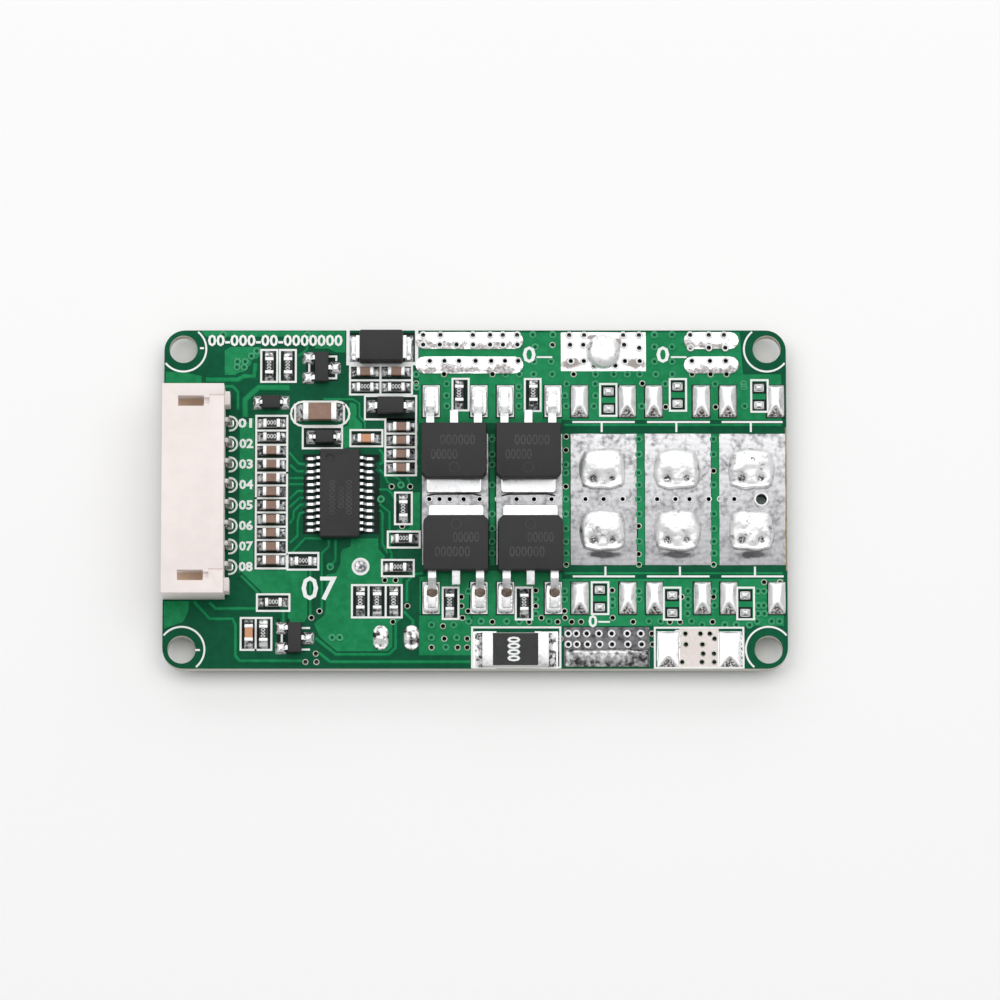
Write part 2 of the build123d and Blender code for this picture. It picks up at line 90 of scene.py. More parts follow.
def solids(name):
    """Lowest and highest corner of each separate solid of a CAD node, from left to right."""
    shape = bmesh.new()
    shape.from_mesh(nodes[name].data)
    bmesh.ops.remove_doubles(shape, verts=shape.verts, dist=0.0001 * MM)
    found = []
    waiting = set(shape.verts)
    while waiting:
        edge_of_search = [waiting.pop()]
        points = []
        while edge_of_search:
            vert = edge_of_search.pop()
            points.append(vert.co.copy())
            for edge in vert.link_edges:
                other = edge.other_vert(vert)
                if other in waiting:
                    waiting.discard(other)
                    edge_of_search.append(other)
        low = Vector([min(point[axis] for point in points) for axis in range(3)])
        high = Vector([max(point[axis] for point in points) for axis in range(3)])
        found.append((low, high))
    shape.free()
    return sorted(found, key=lambda box: (round(box[0].x, 5), round(box[0].y, 5)))


# Shader helpers

def linear(red, green, blue):
    """A screen colour from 0 to 255, as the shader's linear values."""
    values = []
    for part in (red, green, blue):
        share = part / 255
        values.append(share / 12.92 if share <= 0.04045 else ((share + 0.055) / 1.055) ** 2.4)
    return (*values, 1.0)


def add_node(tree, kind, links=(), **values):
    """A node with plain settings, and its inputs linked or set by name; gives its outputs."""
    node = tree.nodes.new(kind)
    for key, value in values.items():
        setattr(node, key, value)
    for socket, source in links:
        if isinstance(source, bpy.types.NodeSocket):
            tree.links.new(source, node.inputs[socket])
        else:
            node.inputs[socket].default_value = source
    return node.outputs


def reckon(tree, operation, *values, **settings):
    """The result of one sum on numbers."""
    return add_node(tree, "ShaderNodeMath", enumerate(values), operation=operation, **settings)[0]


def reckon_vector(tree, operation, *values):
    """The result of one sum on vectors."""
    results = add_node(tree, "ShaderNodeVectorMath", enumerate(values), operation=operation)
    return results["Value" if operation in ("DISTANCE", "LENGTH") else "Vector"]


def least(tree, values):
    """The lowest of several values."""
    lowest = values[0]
    for value in values[1:]:
        lowest = reckon(tree, "MINIMUM", lowest, value)
    return lowest


def spread(tree, value, from_min=0.0, from_max=1.0, to_min=0.0, to_max=1.0):
    """Carries a value from one range to another, and holds it there."""
    return add_node(tree, "ShaderNodeMapRange", (
        ("Value", value), ("From Min", from_min), ("From Max", from_max), ("To Min", to_min),
        ("To Max", to_max)))["Result"]


def blend(tree, share, first, second):
    """Two colours mixed by a share from 0 to 1."""
    return add_node(tree, "ShaderNodeMix", (("Factor", share), (6, first), (7, second)), data_type="RGBA")[2]


def grain(tree, place, scale, detail, roughness=0.5):
    """A noise from 0 to 1."""
    return add_node(tree, "ShaderNodeTexNoise", (
        ("Vector", place), ("Scale", scale), ("Detail", detail), ("Roughness", roughness)))["Fac"]


def axes_of(tree, place):
    """The parts of a place along X, Y and Z."""
    return add_node(tree, "ShaderNodeSeparateXYZ", (("Vector", place),))


def depth_test(tree, place, operation, skin):
    """Compares a place's height from the board's middle with that of the faces, less a skin."""
    up = reckon(tree, "SUBTRACT", axes_of(tree, place)["Z"], (board_low.z + BOARD_TOP) / 2)
    return reckon(tree, operation, reckon(tree, "ABSOLUTE", up), (BOARD_TOP - board_low.z) / 2 - skin)


def make_group(name, inputs, outputs):
    """A node group with named sockets: gives the group, what it is given, and its results."""
    tree = bpy.data.node_groups.new(name, "ShaderNodeTree")
    for side, sockets in (("INPUT", inputs), ("OUTPUT", outputs)):
        for label, kind in sockets.items():
            tree.interface.new_socket(name=label, in_out=side, socket_type="NodeSocket" + kind)
    return tree, tree.nodes.new("NodeGroupInput").outputs, tree.nodes.new("NodeGroupOutput").inputs


def make_speckle_group():
    """Two colours mixed by a fine and a broad noise, with a height for bumps."""
    tree, given, results = make_group(
        "speckle",
        {"Vector": "Vector", "First Color": "Color", "Second Color": "Color", "Fine Scale": "Float",
         "Broad Scale": "Float", "Low": "Float", "High": "Float"},
        {"Color": "Color", "Mask": "Float", "Height": "Float"})
    fine = grain(tree, given["Vector"], given["Fine Scale"], 4.0)
    broad = grain(tree, given["Vector"], given["Broad Scale"], 3.0)
    height = reckon(tree, "MULTIPLY", reckon(tree, "ADD", fine, broad), 0.5)
    mask = spread(tree, height, given["Low"], given["High"])
    colour = blend(tree, mask, given["First Color"], given["Second Color"])
    for label, source in (("Color", colour), ("Mask", mask), ("Height", height)):
        tree.links.new(source, results[label])
    return tree


def make_stain_and_shade_group():
    """A dull colour over another, for stains and for painted shade, wherever a painted share and a noise
    agree.
    """
    tree, given, results = make_group(
        "stain_and_shade", {"Vector": "Vector", "Painted": "Float", "Below": "Color", "Dull And Shade": "Color"},
        {"Color": "Color"})
    uneven = spread(tree, grain(tree, given["Vector"], 5200.0, 3.0), 0.38, 0.55)
    share = reckon(tree, "MULTIPLY", given["Painted"], uneven)
    tree.links.new(blend(tree, share, given["Below"], given["Dull And Shade"]), results["Color"])
    return tree


def make_barrel_shade_group():
    """Painted shade: a dark colour on the wall of a plated hole, wherever it lies deeper than the board's
    faces.
    """
    tree, given, results = make_group(
        "barrel", {"Vector": "Vector", "Below": "Color", "Dark": "Color"}, {"Color": "Color"})
    deep = depth_test(tree, given["Vector"], "LESS_THAN", 0.01 * MM)
    tree.links.new(blend(tree, deep, given["Below"], given["Dark"]), results["Color"])
    return tree


speckle_group = make_speckle_group()
stain_and_shade_group = make_stain_and_shade_group()
barrel_shade_group = make_barrel_shade_group()
materials = {}


def add_finish(name, first, second, scales, bump=(0.2, 0.01), window=(0.35, 0.65), rough=0.5,
               metallic=0.0, specular=0.5, over=()):
    """A finish of two speckled colours. Its roughness is one value, or two that follow the speckle.

    The scales are those of the fine and the broad noise, the bump is a strength and a depth in
    millimetres, the window sets where the colours change over, and over is a layer above the speckle
    with what it needs."""
    material = bpy.data.materials.new(name)
    material.use_nodes = True
    tree = material.node_tree
    shader = tree.nodes["Principled BSDF"].inputs
    shader["Metallic"].default_value = metallic
    shader["Specular IOR Level"].default_value = specular
    place = tree.nodes.new("ShaderNodeTexCoord").outputs["Object"]
    speckle = add_node(tree, "ShaderNodeGroup", (
        ("Vector", place), ("First Color", linear(*first)), ("Second Color", linear(*second)),
        ("Fine Scale", scales[0]), ("Broad Scale", scales[1]), ("Low", window[0]), ("High", window[1])),
        node_tree=speckle_group)
    relief = add_node(tree, "ShaderNodeBump", (
        ("Strength", bump[0]), ("Distance", bump[1] * MM), ("Height", speckle["Height"])))
    tree.links.new(relief["Normal"], shader["Normal"])
    if isinstance(rough, tuple):
        tree.links.new(spread(tree, speckle["Mask"], to_min=rough[0], to_max=rough[1]), shader["Roughness"])
    else:
        shader["Roughness"].default_value = rough
    colour = speckle["Color"]
    if over:
        layer, *needs = over
        colour = layer(tree, place, colour, *needs)
    tree.links.new(colour, shader["Base Color"])
    materials[name] = material


# Layers over a speckle: each takes the colour below it and gives the colour above

def cut_board(tree, place, below):
    """Green mask on both faces, and the glass laminate wherever the board was cut or drilled."""
    on_face = depth_test(tree, place, "GREATER_THAN", 0.03 * MM)
    layers = add_node(tree, "ShaderNodeTexWave", (
        ("Vector", place), ("Scale", 1500.0), ("Distortion", 3.0), ("Detail", 2.0)), bands_direction="Z")
    glass = blend(tree, layers["Fac"], linear(192, 187, 174), linear(220, 217, 208))
    roughness = tree.nodes["Principled BSDF"].inputs["Roughness"]
    tree.links.new(spread(tree, on_face, to_min=0.8, to_max=0.38), roughness)
    return blend(tree, on_face, glass, below)


def barrel_shade(tree, place, below):
    """Painted shade on the wall of a plated hole."""
    return add_node(tree, "ShaderNodeGroup", (
        ("Vector", place), ("Below", below), ("Dark", linear(26, 27, 26))), node_tree=barrel_shade_group)["Color"]


def dull_and_shade(tree, place, below, colour):
    """A dull colour, for stains and for painted shade, where the piece's dull attribute is painted."""
    painted = add_node(tree, "ShaderNodeAttribute", attribute_name="dull")["Fac"]
    return add_node(tree, "ShaderNodeGroup", (
        ("Vector", place), ("Painted", painted), ("Below", below), ("Dull And Shade", linear(*colour))),
        node_tree=stain_and_shade_group)["Color"]


def pale_near(tree, place, below, places, reach, colour):
    """Another colour within reach of some places, in metres."""
    away = [reckon_vector(tree, "DISTANCE", place, other) for other in places]
    return blend(tree, reckon(tree, "LESS_THAN", least(tree, away), reach), below, linear(*colour))


def wire_patches_and_shade(tree, place, below, colour):
    """Ragged darker patches on the upper power land, each with a middle and two half sizes: two low on the
    land, and two of painted shade near its upper edge, above the heap.
    """
    low, high = max(solids("power_lands"), key=lambda box: box[1].y)
    middle = (low.x + high.x) / 2
    reaches = []
    for x, y, half_x, half_y in (
            (low.x + 1.0 * MM, low.y + 0.75 * MM, 1.2 * MM, 0.6 * MM),
            (high.x - 1.0 * MM, low.y + 0.8 * MM, 1.1 * MM, 0.6 * MM),
            # Painted shade above the heap, in this patch and the next.
            (middle - 0.9 * MM, high.y - 0.5 * MM, 0.9 * MM, 0.3 * MM),
            (middle + 1.4 * MM, high.y - 1.0 * MM, 0.5 * MM, 0.6 * MM)):
        shifted = reckon_vector(tree, "SUBTRACT", place, (x, y, BOARD_TOP))
        scaled = reckon_vector(tree, "MULTIPLY", shifted, (1 / half_x, 1 / half_y, 0))
        reaches.append(reckon_vector(tree, "LENGTH", scaled))
    ragged = grain(tree, place, 1400.0, 5.0, 0.7)
    uneven = reckon(tree, "MULTIPLY_ADD", ragged, 1.6, least(tree, reaches))
    return blend(tree, spread(tree, uneven, 1.85, 1.45, to_max=0.85), below, linear(*colour))


def strip_patches(tree, place, below, colour):
    """Ragged dull patches along the lower edge of both rows of current strips."""
    rows = [(low.y + high.y) / 2 for low, high in solids("solder_strips")]
    pitch = max(rows) - min(rows)
    lower_edge = min(rows) - (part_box("solder_strips")[1].y - max(rows)) * 0.62
    shifted = reckon(tree, "SUBTRACT", axes_of(tree, place)["Y"], lower_edge)
    away = reckon(tree, "ABSOLUTE", reckon(tree, "WRAP", shifted, pitch / 2, -pitch / 2))
    reach = spread(tree, grain(tree, place, 620.0, 5.0, 0.65), 0.38, 0.6, 0.0, 0.75 * MM)
    mask = spread(tree, reckon(tree, "SUBTRACT", reach, away), 0.0, 0.18 * MM, to_max=0.85)
    uneven = spread(tree, grain(tree, place, 3400.0, 4.0), 0.36, 0.6, to_min=0.55)
    return blend(tree, reckon(tree, "MULTIPLY", mask, uneven), below, linear(*colour))


def drain_shades(tree, place, below):
    """Woven and darker towards the lower end, with a darker smudge just below each heap."""
    axes = axes_of(tree, place)
    drain_low, drain_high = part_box("drain_lands")
    fall = spread(tree, axes["Y"], drain_high.y, drain_low.y, 0.05, 0.62)
    weave = add_node(tree, "ShaderNodeTexWave", (
        ("Vector", place), ("Scale", 560.0), ("Distortion", 6.0), ("Detail", 4.0),
        ("Detail Roughness", 0.7)), bands_direction="Y")
    grey = reckon(tree, "ADD", fall, reckon(tree, "MULTIPLY", weave["Fac"], 0.1), use_clamp=True)
    lands = solids("drain_lands")
    middle = (lands[-1][0].x + lands[-1][1].x) / 2
    pitch = lands[-1][0].x - lands[-2][0].x
    across = reckon(tree, "SUBTRACT", axes["X"], middle)
    across = reckon(tree, "DIVIDE", reckon(tree, "WRAP", across, pitch / 2, -pitch / 2), 1.5 * MM)
    along = reckon(tree, "DIVIDE", reckon(tree, "SUBTRACT", axes["Y"], drain_low.y + 1.0 * MM), 0.36 * MM)
    joined = add_node(tree, "ShaderNodeCombineXYZ", (("X", across), ("Y", along)))["Vector"]
    uneven = reckon(tree, "ADD", reckon_vector(tree, "LENGTH", joined), grain(tree, place, 1500.0, 4.0))
    shaded = blend(tree, grey, below, linear(126, 125, 128))
    return blend(tree, spread(tree, uneven, 1.75, 1.2), shaded, linear(78, 77, 80))


# The two capacitors of a paler, more orange ceramic
PALE_CAPACITORS = ((-10.5 * MM, 5.85 * MM, BOARD_TOP), (-21.7 * MM, -13.1 * MM, BOARD_TOP))
NARROW = (0.3, 0.5)

add_finish("board_mask", (2, 78, 50), (6, 94, 62), (1500, 90), specular=0.07, over=(cut_board,))
add_finish("mask_over_copper", (10, 120, 70), (34, 146, 92), (1500, 90), rough=0.34, specular=0.08)
# Its dull layer is painted shade on the low flanks of each covered via ring.
add_finish("mask_over_ring", (46, 148, 98), (74, 168, 120), (2500, 200), rough=0.34, specular=0.2,
           over=(dull_and_shade, (0, 78, 46)))
add_finish("tinned_copper", (150, 152, 152), (222, 223, 224), (1100, 420), (0.7, 0.06), (0.38, 0.62),
           (0.28, 0.5), 0.9)
add_finish("drain_tin", (118, 118, 120), (232, 232, 234), (2300, 800), (0.7, 0.05), (0.38, 0.56),
           (0.3, 0.5), 0.9, over=(drain_shades,))
add_finish("bright_tin", (176, 175, 176), (246, 246, 247), (2000, 500), (0.5, 0.05), NARROW,
           (0.22, 0.42), 0.9)
# Its upper patches are painted shade above the heap.
add_finish("wire_tin", (186, 185, 186), (250, 250, 251), (2000, 500), (0.5, 0.05), NARROW,
           (0.22, 0.42), 0.9, over=(wire_patches_and_shade, (112, 100, 94)))
add_finish("dull_tin", (48, 48, 50), (124, 124, 127), (2600, 1100), (0.8, 0.06), (0.38, 0.62),
           (0.3, 0.5), 0.85)
add_finish("strip_solder", (212, 213, 214), (250, 250, 251), (1300, 330), (0.3, 0.06), NARROW,
           (0.16, 0.34), 0.95, over=(strip_patches, (92, 82, 77)))
add_finish("solder", (200, 201, 202), (248, 248, 249), (1300, 330), (0.3, 0.06), (0.3, 0.55),
           (0.14, 0.3), 0.95)
add_finish("ridge_solder", (70, 69, 72), (240, 240, 241), (2400, 1300), (0.9, 0.08), (0.42, 0.62),
           (0.22, 0.4), 0.9)
# Its dull layer holds old flux, and painted shade beside the transistor leads.
add_finish("stained_and_shaded_solder", (206, 207, 208), (250, 250, 250), (1300, 330), (0.3, 0.06), (0.28, 0.5),
           (0.16, 0.34), 0.9, over=(dull_and_shade, (92, 82, 76)))
add_finish("old_flux", (92, 76, 66), (134, 116, 102), (2600, 700), (0.5, 0.04), rough=0.3, specular=0.4)
# Painted shadow under the upper drain tabs.
add_finish("painted_tab_shadow", (24, 24, 25), (52, 50, 48), (3000, 700), rough=0.7, specular=0.2)
add_finish("laser_mark", (68, 68, 70), (84, 84, 86), (5000, 900), (0.3, 0.01), rough=0.75, specular=0.2)
# Painted shade: the dark sheets inside the printed boxes and round the small lands.
add_finish("painted_shade_sheets", (8, 26, 20), (16, 44, 34), (3000, 500), rough=0.6, specular=0.15)
# Both via finishes carry painted shade on the walls of their holes.
add_finish("via_plating", (150, 158, 142), (222, 224, 212), (3000, 600), rough=(0.35, 0.5),
           metallic=0.8, over=(barrel_shade,))
add_finish("via_tin", (200, 200, 200), (250, 250, 250), (3000, 600), rough=(0.35, 0.5),
           metallic=0.8, over=(barrel_shade,))
add_finish("connector_plastic", (240, 229, 225), (248, 238, 234), (900, 90), (0.15, 0.02), specular=0.35)
add_finish("mould_compound", (43, 43, 44), (55, 55, 56), (6000, 500), (0.6, 0.015), rough=(0.5, 0.68),
           specular=0.3)
add_finish("lead_metal", (196, 197, 198), (244, 244, 245), (2000, 500), (0.3, 0.02), (0.32, 0.55),
           (0.26, 0.42), 0.9)
add_finish("pin_metal", (150, 148, 142), (215, 214, 210), (1500, 500), (0.3, 0.02), rough=(0.3, 0.5),
           metallic=0.9)
add_finish("capacitor_ceramic", (134, 106, 92), (158, 128, 112), (6000, 900), specular=0.3,
           over=(pale_near, PALE_CAPACITORS, 1.2 * MM, (208, 152, 116)))
add_finish("end_cap_metal", (188, 189, 190), (240, 240, 241), (3000, 900), (0.3, 0.02), (0.32, 0.55),
           (0.25, 0.45), 0.85)
add_finish("white_ceramic", (222, 221, 214), (236, 235, 230), (5000, 900), rough=0.6)
add_finish("resistor_glaze", (30, 30, 32), (46, 46, 48), (5000, 900), rough=0.32, specular=0.3)
add_finish("white_ink", (236, 241, 238), (250, 252, 250), (3000, 500), rough=0.6, specular=0.3)
add_finish("field_ink", (228, 217, 211), (242, 233, 229), (3000, 500), rough=0.6, specular=0.3)
add_finish("chip_joint", (84, 83, 84), (248, 248, 248), (3200, 1500), (0.6, 0.05), (0.44, 0.55),
           (0.22, 0.4), 0.9)
add_finish("dark_joint", (40, 40, 40), (150, 150, 150), (3200, 1500), (0.6, 0.05), (0.42, 0.6),
           (0.3, 0.5), 0.85)
add_finish("wire_joint", (72, 68, 66), (250, 250, 250), (1900, 1100), (0.8, 0.08), (0.43, 0.53),
           (0.2, 0.4), 0.9)
# Its dull layer holds painted shade in the heaps' pits, and a spot on the last heap.
add_finish("old_and_shaded_solder", (176, 176, 177), (254, 254, 254), (2600, 900), (0.8, 0.06), (0.34, 0.45),
           (0.26, 0.44), 0.9, over=(dull_and_shade, (70, 68, 66)))
# Painted shade: the tan floor seen through the connector's lock windows.
add_finish("shaded_plastic", (226, 196, 168), (238, 212, 186), (900, 90), (0.15, 0.02), rough=0.6,
           specular=0.2)
add_finish("cut_laminate", (142, 120, 92), (186, 168, 138), (2600, 700), (0.3, 0.02), rough=0.8,
           specular=0.1)


def dress_all():
    """Every CAD node takes the finish of its record slot's name, and the board its mask."""
    for part in frame["record"]["subparts"]:
        slot = part["material_slot"]
        finishes = nodes[part["node"]].data.materials
        finishes.clear()
        finishes.append(materials["board_mask" if slot == "board_laminate" else slot])


dress_all()


# Mesh helpers: every builder adds to a bmesh in metres, in place on the board

def add_object(name, data):
    """A new object of the scene."""
    made = bpy.data.objects.new(name, data)
    bpy.context.scene.collection.objects.link(made)
    return made


def finish_piece(name, shape, material, slot, smooth=False, replaced=()):
    """Turns a bmesh into a piece of the object, held inside the CAD box."""
    for vert in shape.verts:
        vert.co = [min(max(value, low), high) for value, low, high in zip(vert.co, cad_low, cad_high)]
    bmesh.ops.recalc_face_normals(shape, faces=shape.faces)
    if smooth:
        for face in shape.faces:
            face.smooth = True
    mesh = bpy.data.meshes.new(name)
    shape.to_mesh(mesh)
    shape.free()
    mesh.materials.append(materials[material])
    piece = add_object(name, mesh)
    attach(piece, "root")
    if replaced:
        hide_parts(*replaced)
    return piece


def add_bar(shape, middle, turn, size):
    """A box about its middle, turned in the board's plane."""
    place = Matrix.Translation(middle) @ Matrix.Rotation(turn, 4, "Z") @ Matrix.Diagonal((*size, 1))
    bmesh.ops.create_cube(shape, size=1, matrix=place)


def add_block(shape, low, high):
    """A box between two corners."""
    add_bar(shape, [(a + b) / 2 for a, b in zip(low, high)], 0, [b - a for a, b in zip(low, high)])


def add_line(shape, start, end, width, low, high):
    """A straight line between two places on the board, with a top a hair off the last one's."""
    first = Vector(on_board(*start))
    last = Vector(on_board(*end))
    along = last - first
    high += len(shape.verts) // 8 % 11 * 0.0007 * MM
    add_bar(shape, (*(first + last) / 2, (low + high) / 2), math.atan2(along.y, along.x),
            (along.length + width, width, high - low))


def add_heap(shape, centre, half, low, height_at, outline_at=None, cells=(12, 12)):
    """A closed heap over a rectangle: height_at gives metres above low, for u and v from -1 to 1."""
    made = bmesh.ops.create_grid(shape, x_segments=cells[0], y_segments=cells[1], size=1)
    verts = made["verts"]
    rim = [edge for edge in {e for v in verts for e in v.link_edges} if edge.is_boundary]
    for vert in verts:
        u, v = vert.co.x, vert.co.y
        across, along = outline_at(u, v) if outline_at else (u, v)
        vert.co = (centre[0] + across * half[0], centre[1] + along * half[1], low + max(0.0, height_at(u, v)))
    skirt = bmesh.ops.extrude_edge_only(shape, edges=rim)["geom"]
    for item in skirt:
        if isinstance(item, bmesh.types.BMVert):
            item.co.z = low - 0.01 * MM
    foot = [item for item in skirt if isinstance(item, bmesh.types.BMEdge) and item.is_boundary]
    bmesh.ops.contextual_create(shape, geom=foot)


def waves(seed):
    """A smooth random function of u and v, about -1 to 1, that differs from seed to seed."""
    random.seed(seed)
    drift = Vector((random.random() * 50, random.random() * 50, 0))

    def value(u, v, scale=1.7):
        return noise.noise(Vector((u * scale, v * scale, scale)) + drift)
    return value


def round_outline(u, v):
    """Maps a square onto a disc."""
    return u * math.sqrt(1 - v * v / 2), v * math.sqrt(1 - u * u / 2)


def add_pillow(shape, x, y, half_x, half_y, low, rise, cells=8, power=3.0, rough=0.0, seed=0, disc=False):
    """A low cushion of tin or solder with a rounded back; sizes in metres."""
    wave = waves(seed)

    def height_at(u, v):
        crown = max(0.0, (1 - abs(u) ** power) * (1 - abs(v) ** power))
        return rise * crown ** 0.6 * (1 + rough * (wave(u, v) + 0.4 * wave(u, v, 4.3)))

    def outline_at(u, v):
        drift = rough * 0.25 * wave(u, v, 1.1)
        round_in = 1 - 0.12 * (u * v) ** 2
        return u * (round_in + drift), v * (round_in - drift)

    add_heap(shape, (x, y), (half_x, half_y), low, height_at, round_outline if disc else outline_at,
             (cells, cells))


def add_roof(shape, centre, half, low, rise, front, seed, cells=(14, 18), waist=0.07):
    """Tin set on a land like a hipped roof: a long slope at the lower end, and sides that pull in."""
    wave = waves(seed)

    def height_at(u, v):
        side = 1 - abs(u) ** 1.6
        lower = (1 + v) / front
        upper = (1 - v) / 0.16
        return rise * min(side, lower, upper, 0.94) * (1 + 0.1 * wave(u, v) + 0.06 * wave(u, v, 5.0))

    def outline_at(u, v):
        drift = 0.03 * wave(v, 0.3, 2.3)
        return u * (1 - waist * (1 - v * v) + drift), v

    add_heap(shape, centre, half, low, height_at, outline_at, cells)


def stain_and_shade(piece, marks):
    """Paints a share, 0 to 1, for stains and painted shade on each vertex: marks are functions of the vertex
    place.
    """
    layer = piece.data.color_attributes.new("dull", "FLOAT_COLOR", "POINT")
    for vert, value in zip(piece.data.vertices, layer.data):
        share = max([0.0, *[mark(vert.co) for mark in marks]])
        value.color = (share, share, share, 1)


def add_wedge(shape, x, y, turn, start, reach, half_width, low, height):
    """A solder fillet: hollow-backed, from a part's end face out along its land."""
    profile = (
        (0, 0), (reach, 0), (reach, 0.03 * MM), (reach * 0.72, height * 0.16),
        (reach * 0.4, height * 0.36), (reach * 0.15, height * 0.66), (0, height))
    place = Matrix.Translation((x, y, low)) @ Matrix.Rotation(turn, 4, "Z")
    verts = [shape.verts.new(place @ Vector((start + across, -half_width, up))) for across, up in profile]
    face = shape.faces.new(verts)
    grown = bmesh.ops.extrude_face_region(shape, geom=[face])["geom"]
    far = [item for item in grown if isinstance(item, bmesh.types.BMVert)]
    shift = place.to_3x3() @ Vector((0, 2 * half_width, 0))
    bmesh.ops.translate(shape, verts=far, vec=shift)


def sides_of(corners):
    """The two ends of each side of a closed outline."""
    return zip(corners, corners[1:] + corners[:1])


def inside(point, outline):
    """Whether a place lies within a closed outline, both as read on the grid."""
    x, y = point
    hit = False
    for (ax, ay), (bx, by) in sides_of(outline):
        if (ay > y) != (by > y) and x < (bx - ax) * (y - ay) / (by - ay) + ax:
            hit = not hit
    return hit


def mesh_of(curve):
    """The mesh that a curve or a text makes."""
    holder = bpy.data.objects.new(curve.name, curve)
    mesh = bpy.data.meshes.new_from_object(holder)
    bpy.data.objects.remove(holder)
    return mesh


def add_spline(curve, points):
    """A row of straight pieces on a curve."""
    spline = curve.splines.new("POLY")
    spline.points.add(len(points) - 1)
    for point, (x, y) in zip(spline.points, points):
        point.co = (x, y, 0, 1)
    return spline


def sheet_from_loops(name, loops, low, high, material, slot, replaced=()):
    """A flat closed sheet from outlines and hole outlines in metres."""
    curve = bpy.data.curves.new(name, "CURVE")
    curve.dimensions = "2D"
    curve.fill_mode = "BOTH"
    curve.extrude = (high - low) / 2
    for loop in loops:
        add_spline(curve, loop).use_cyclic_u = True
    mesh = mesh_of(curve)
    shape = bmesh.new()
    shape.from_mesh(mesh)
    bpy.data.meshes.remove(mesh)
    bmesh.ops.remove_doubles(shape, verts=shape.verts, dist=MERGE_REACH)
    bmesh.ops.translate(shape, verts=shape.verts, vec=(0, 0, (low + high) / 2))
    return finish_piece(name, shape, material, slot, replaced=replaced)


def arc(x, y, radius, begin, end, steps):
    """Places along an arc between two angles in degrees."""
    angles = [math.radians(begin + (end - begin) * step / steps) for step in range(steps + 1)]
    return [(x + radius * math.cos(angle), y + radius * math.sin(angle)) for angle in angles]


def circle(x, y, radius, sides):
    """The corners of a round hole."""
    return arc(x, y, radius, 0, 360, sides)[:-1]


def rectangle(x0, y0, x1, y1):
    """The four corners of a rectangle."""
    return [(x0, y0), (x1, y0), (x1, y1), (x0, y1)]


def obround(x0, y0, x1, y1):
    """A rectangle with fully round ends, as a list of places."""
    radius = (y1 - y0) / 2
    middle = (y0 + y1) / 2
    return arc(x1 - radius, middle, radius, -90, 90, 8) + arc(x0 + radius, middle, radius, 90, 270, 8)


def cut_sheet(name, outlines, low, high, material, slot):
    """A flat sheet of outlines read on the grid, drilled wherever a hole falls inside one."""
    loops = [[on_board(*point) for point in outline] for outline in outlines]
    for x, y, radius in drilled:
        if any(inside((x, y), outline) for outline in outlines):
            loops.append(circle(*on_board(x, y), radius * MM, VIA_SIDES))
    sheet_from_loops(name, loops, low, high, material, slot)


# Drilled holes, as rows read on the grid: the row's height, then the places along it

OPEN_VIA_ROWS = (
    (15.95, (-4.97, -3.3, -0.15, 1.52, 2.74, 4.13, 9.18, 10.62, 14.4, 15.94, 20.9, 22.7, 24.17)),
    (15.0, (-4.97, -3.36, -1.74, -0.13, 1.51, 2.76, 4.16, 7.56, 9.26, 10.54, 14.5)),
    (14.7, (15.96, 20.93, 22.7, 24.3)),
    (13.4, (-4.33, -2.9, -1.5, 0.11, 1.62, 2.95, 4.23, 9.33, 10.59, 14.57, 16.0, 21.05, 22.8, 24.33)),
    (12.95, (11.6, 13.64)),
    (12.1, (-2.95, 1.74, 9.6, 21.07, 22.86, 24.4)),
    (11.2, (-5.66, 16.25)),
    (8.88, (18.5, 23.33)),
    (5.95, (8.85,)),
    (4.63, (8.83,)),
    (2.59, (23.1,)),
    (1.05, (-8.0, -6.2, 8.82)),
    (-2.83, (-6.97, 15.85)),
    (-5.57, (15.83,)),
    (-6.62, (8.83, 15.85, 23.05)),
    (-8.13, (-8.64, -7.6)),
    (-8.33, (27.9, 29.44)),
    (-9.12, (5.9, 13.26)),
    (-9.75, (-1.26, 19.95, 23.02)),
    (-10.65, (-6.46, -1.26, 5.9)),
    (-11.15, (-14.92, -0.62, 8.67)),
    (-11.8, (-15.7, -1.16, 6.44, 8.72, 13.3)),
    (-12.2, (-7.85, 1.72, 5.26, 8.0, 9.36, 10.26, 15.27, 18.8, 19.79, 22.92)),
    (-12.62, (-3.03,)),
    (-13.35, (9.02, 9.8, 10.8, 11.97, 13.2, 14.7, 16.0, 17.07, 19.53, 20.3, 21.75, 22.65)),
    (-13.84, (-2.9, -0.7, 8.28, 23.1, 25.52)),
    (-14.4, (9.02, 9.85, 10.88, 12.05, 13.24, 14.75, 16.08, 17.14, 19.55, 20.35, 21.93, 25.52)),
    (-14.7, (-4.13, -1.62, -0.7)),
    (-15.3, (-15.26, 22.0, 23.04, 25.52)),
    (-16.12, (-15.2, -16.26, 19.98, 21.88, 23.06, 25.52)),
    # between the two rows of power transistors
    (-0.19, (-4.36, -3.38, -2.39, -1.05, 0.5, 2.28, 4.06, 5.75, 7.44, 10.71, 12.46, 14.3,
             17.63, 19.4, 20.75, 22.6, 23.73, 25.08)),
)
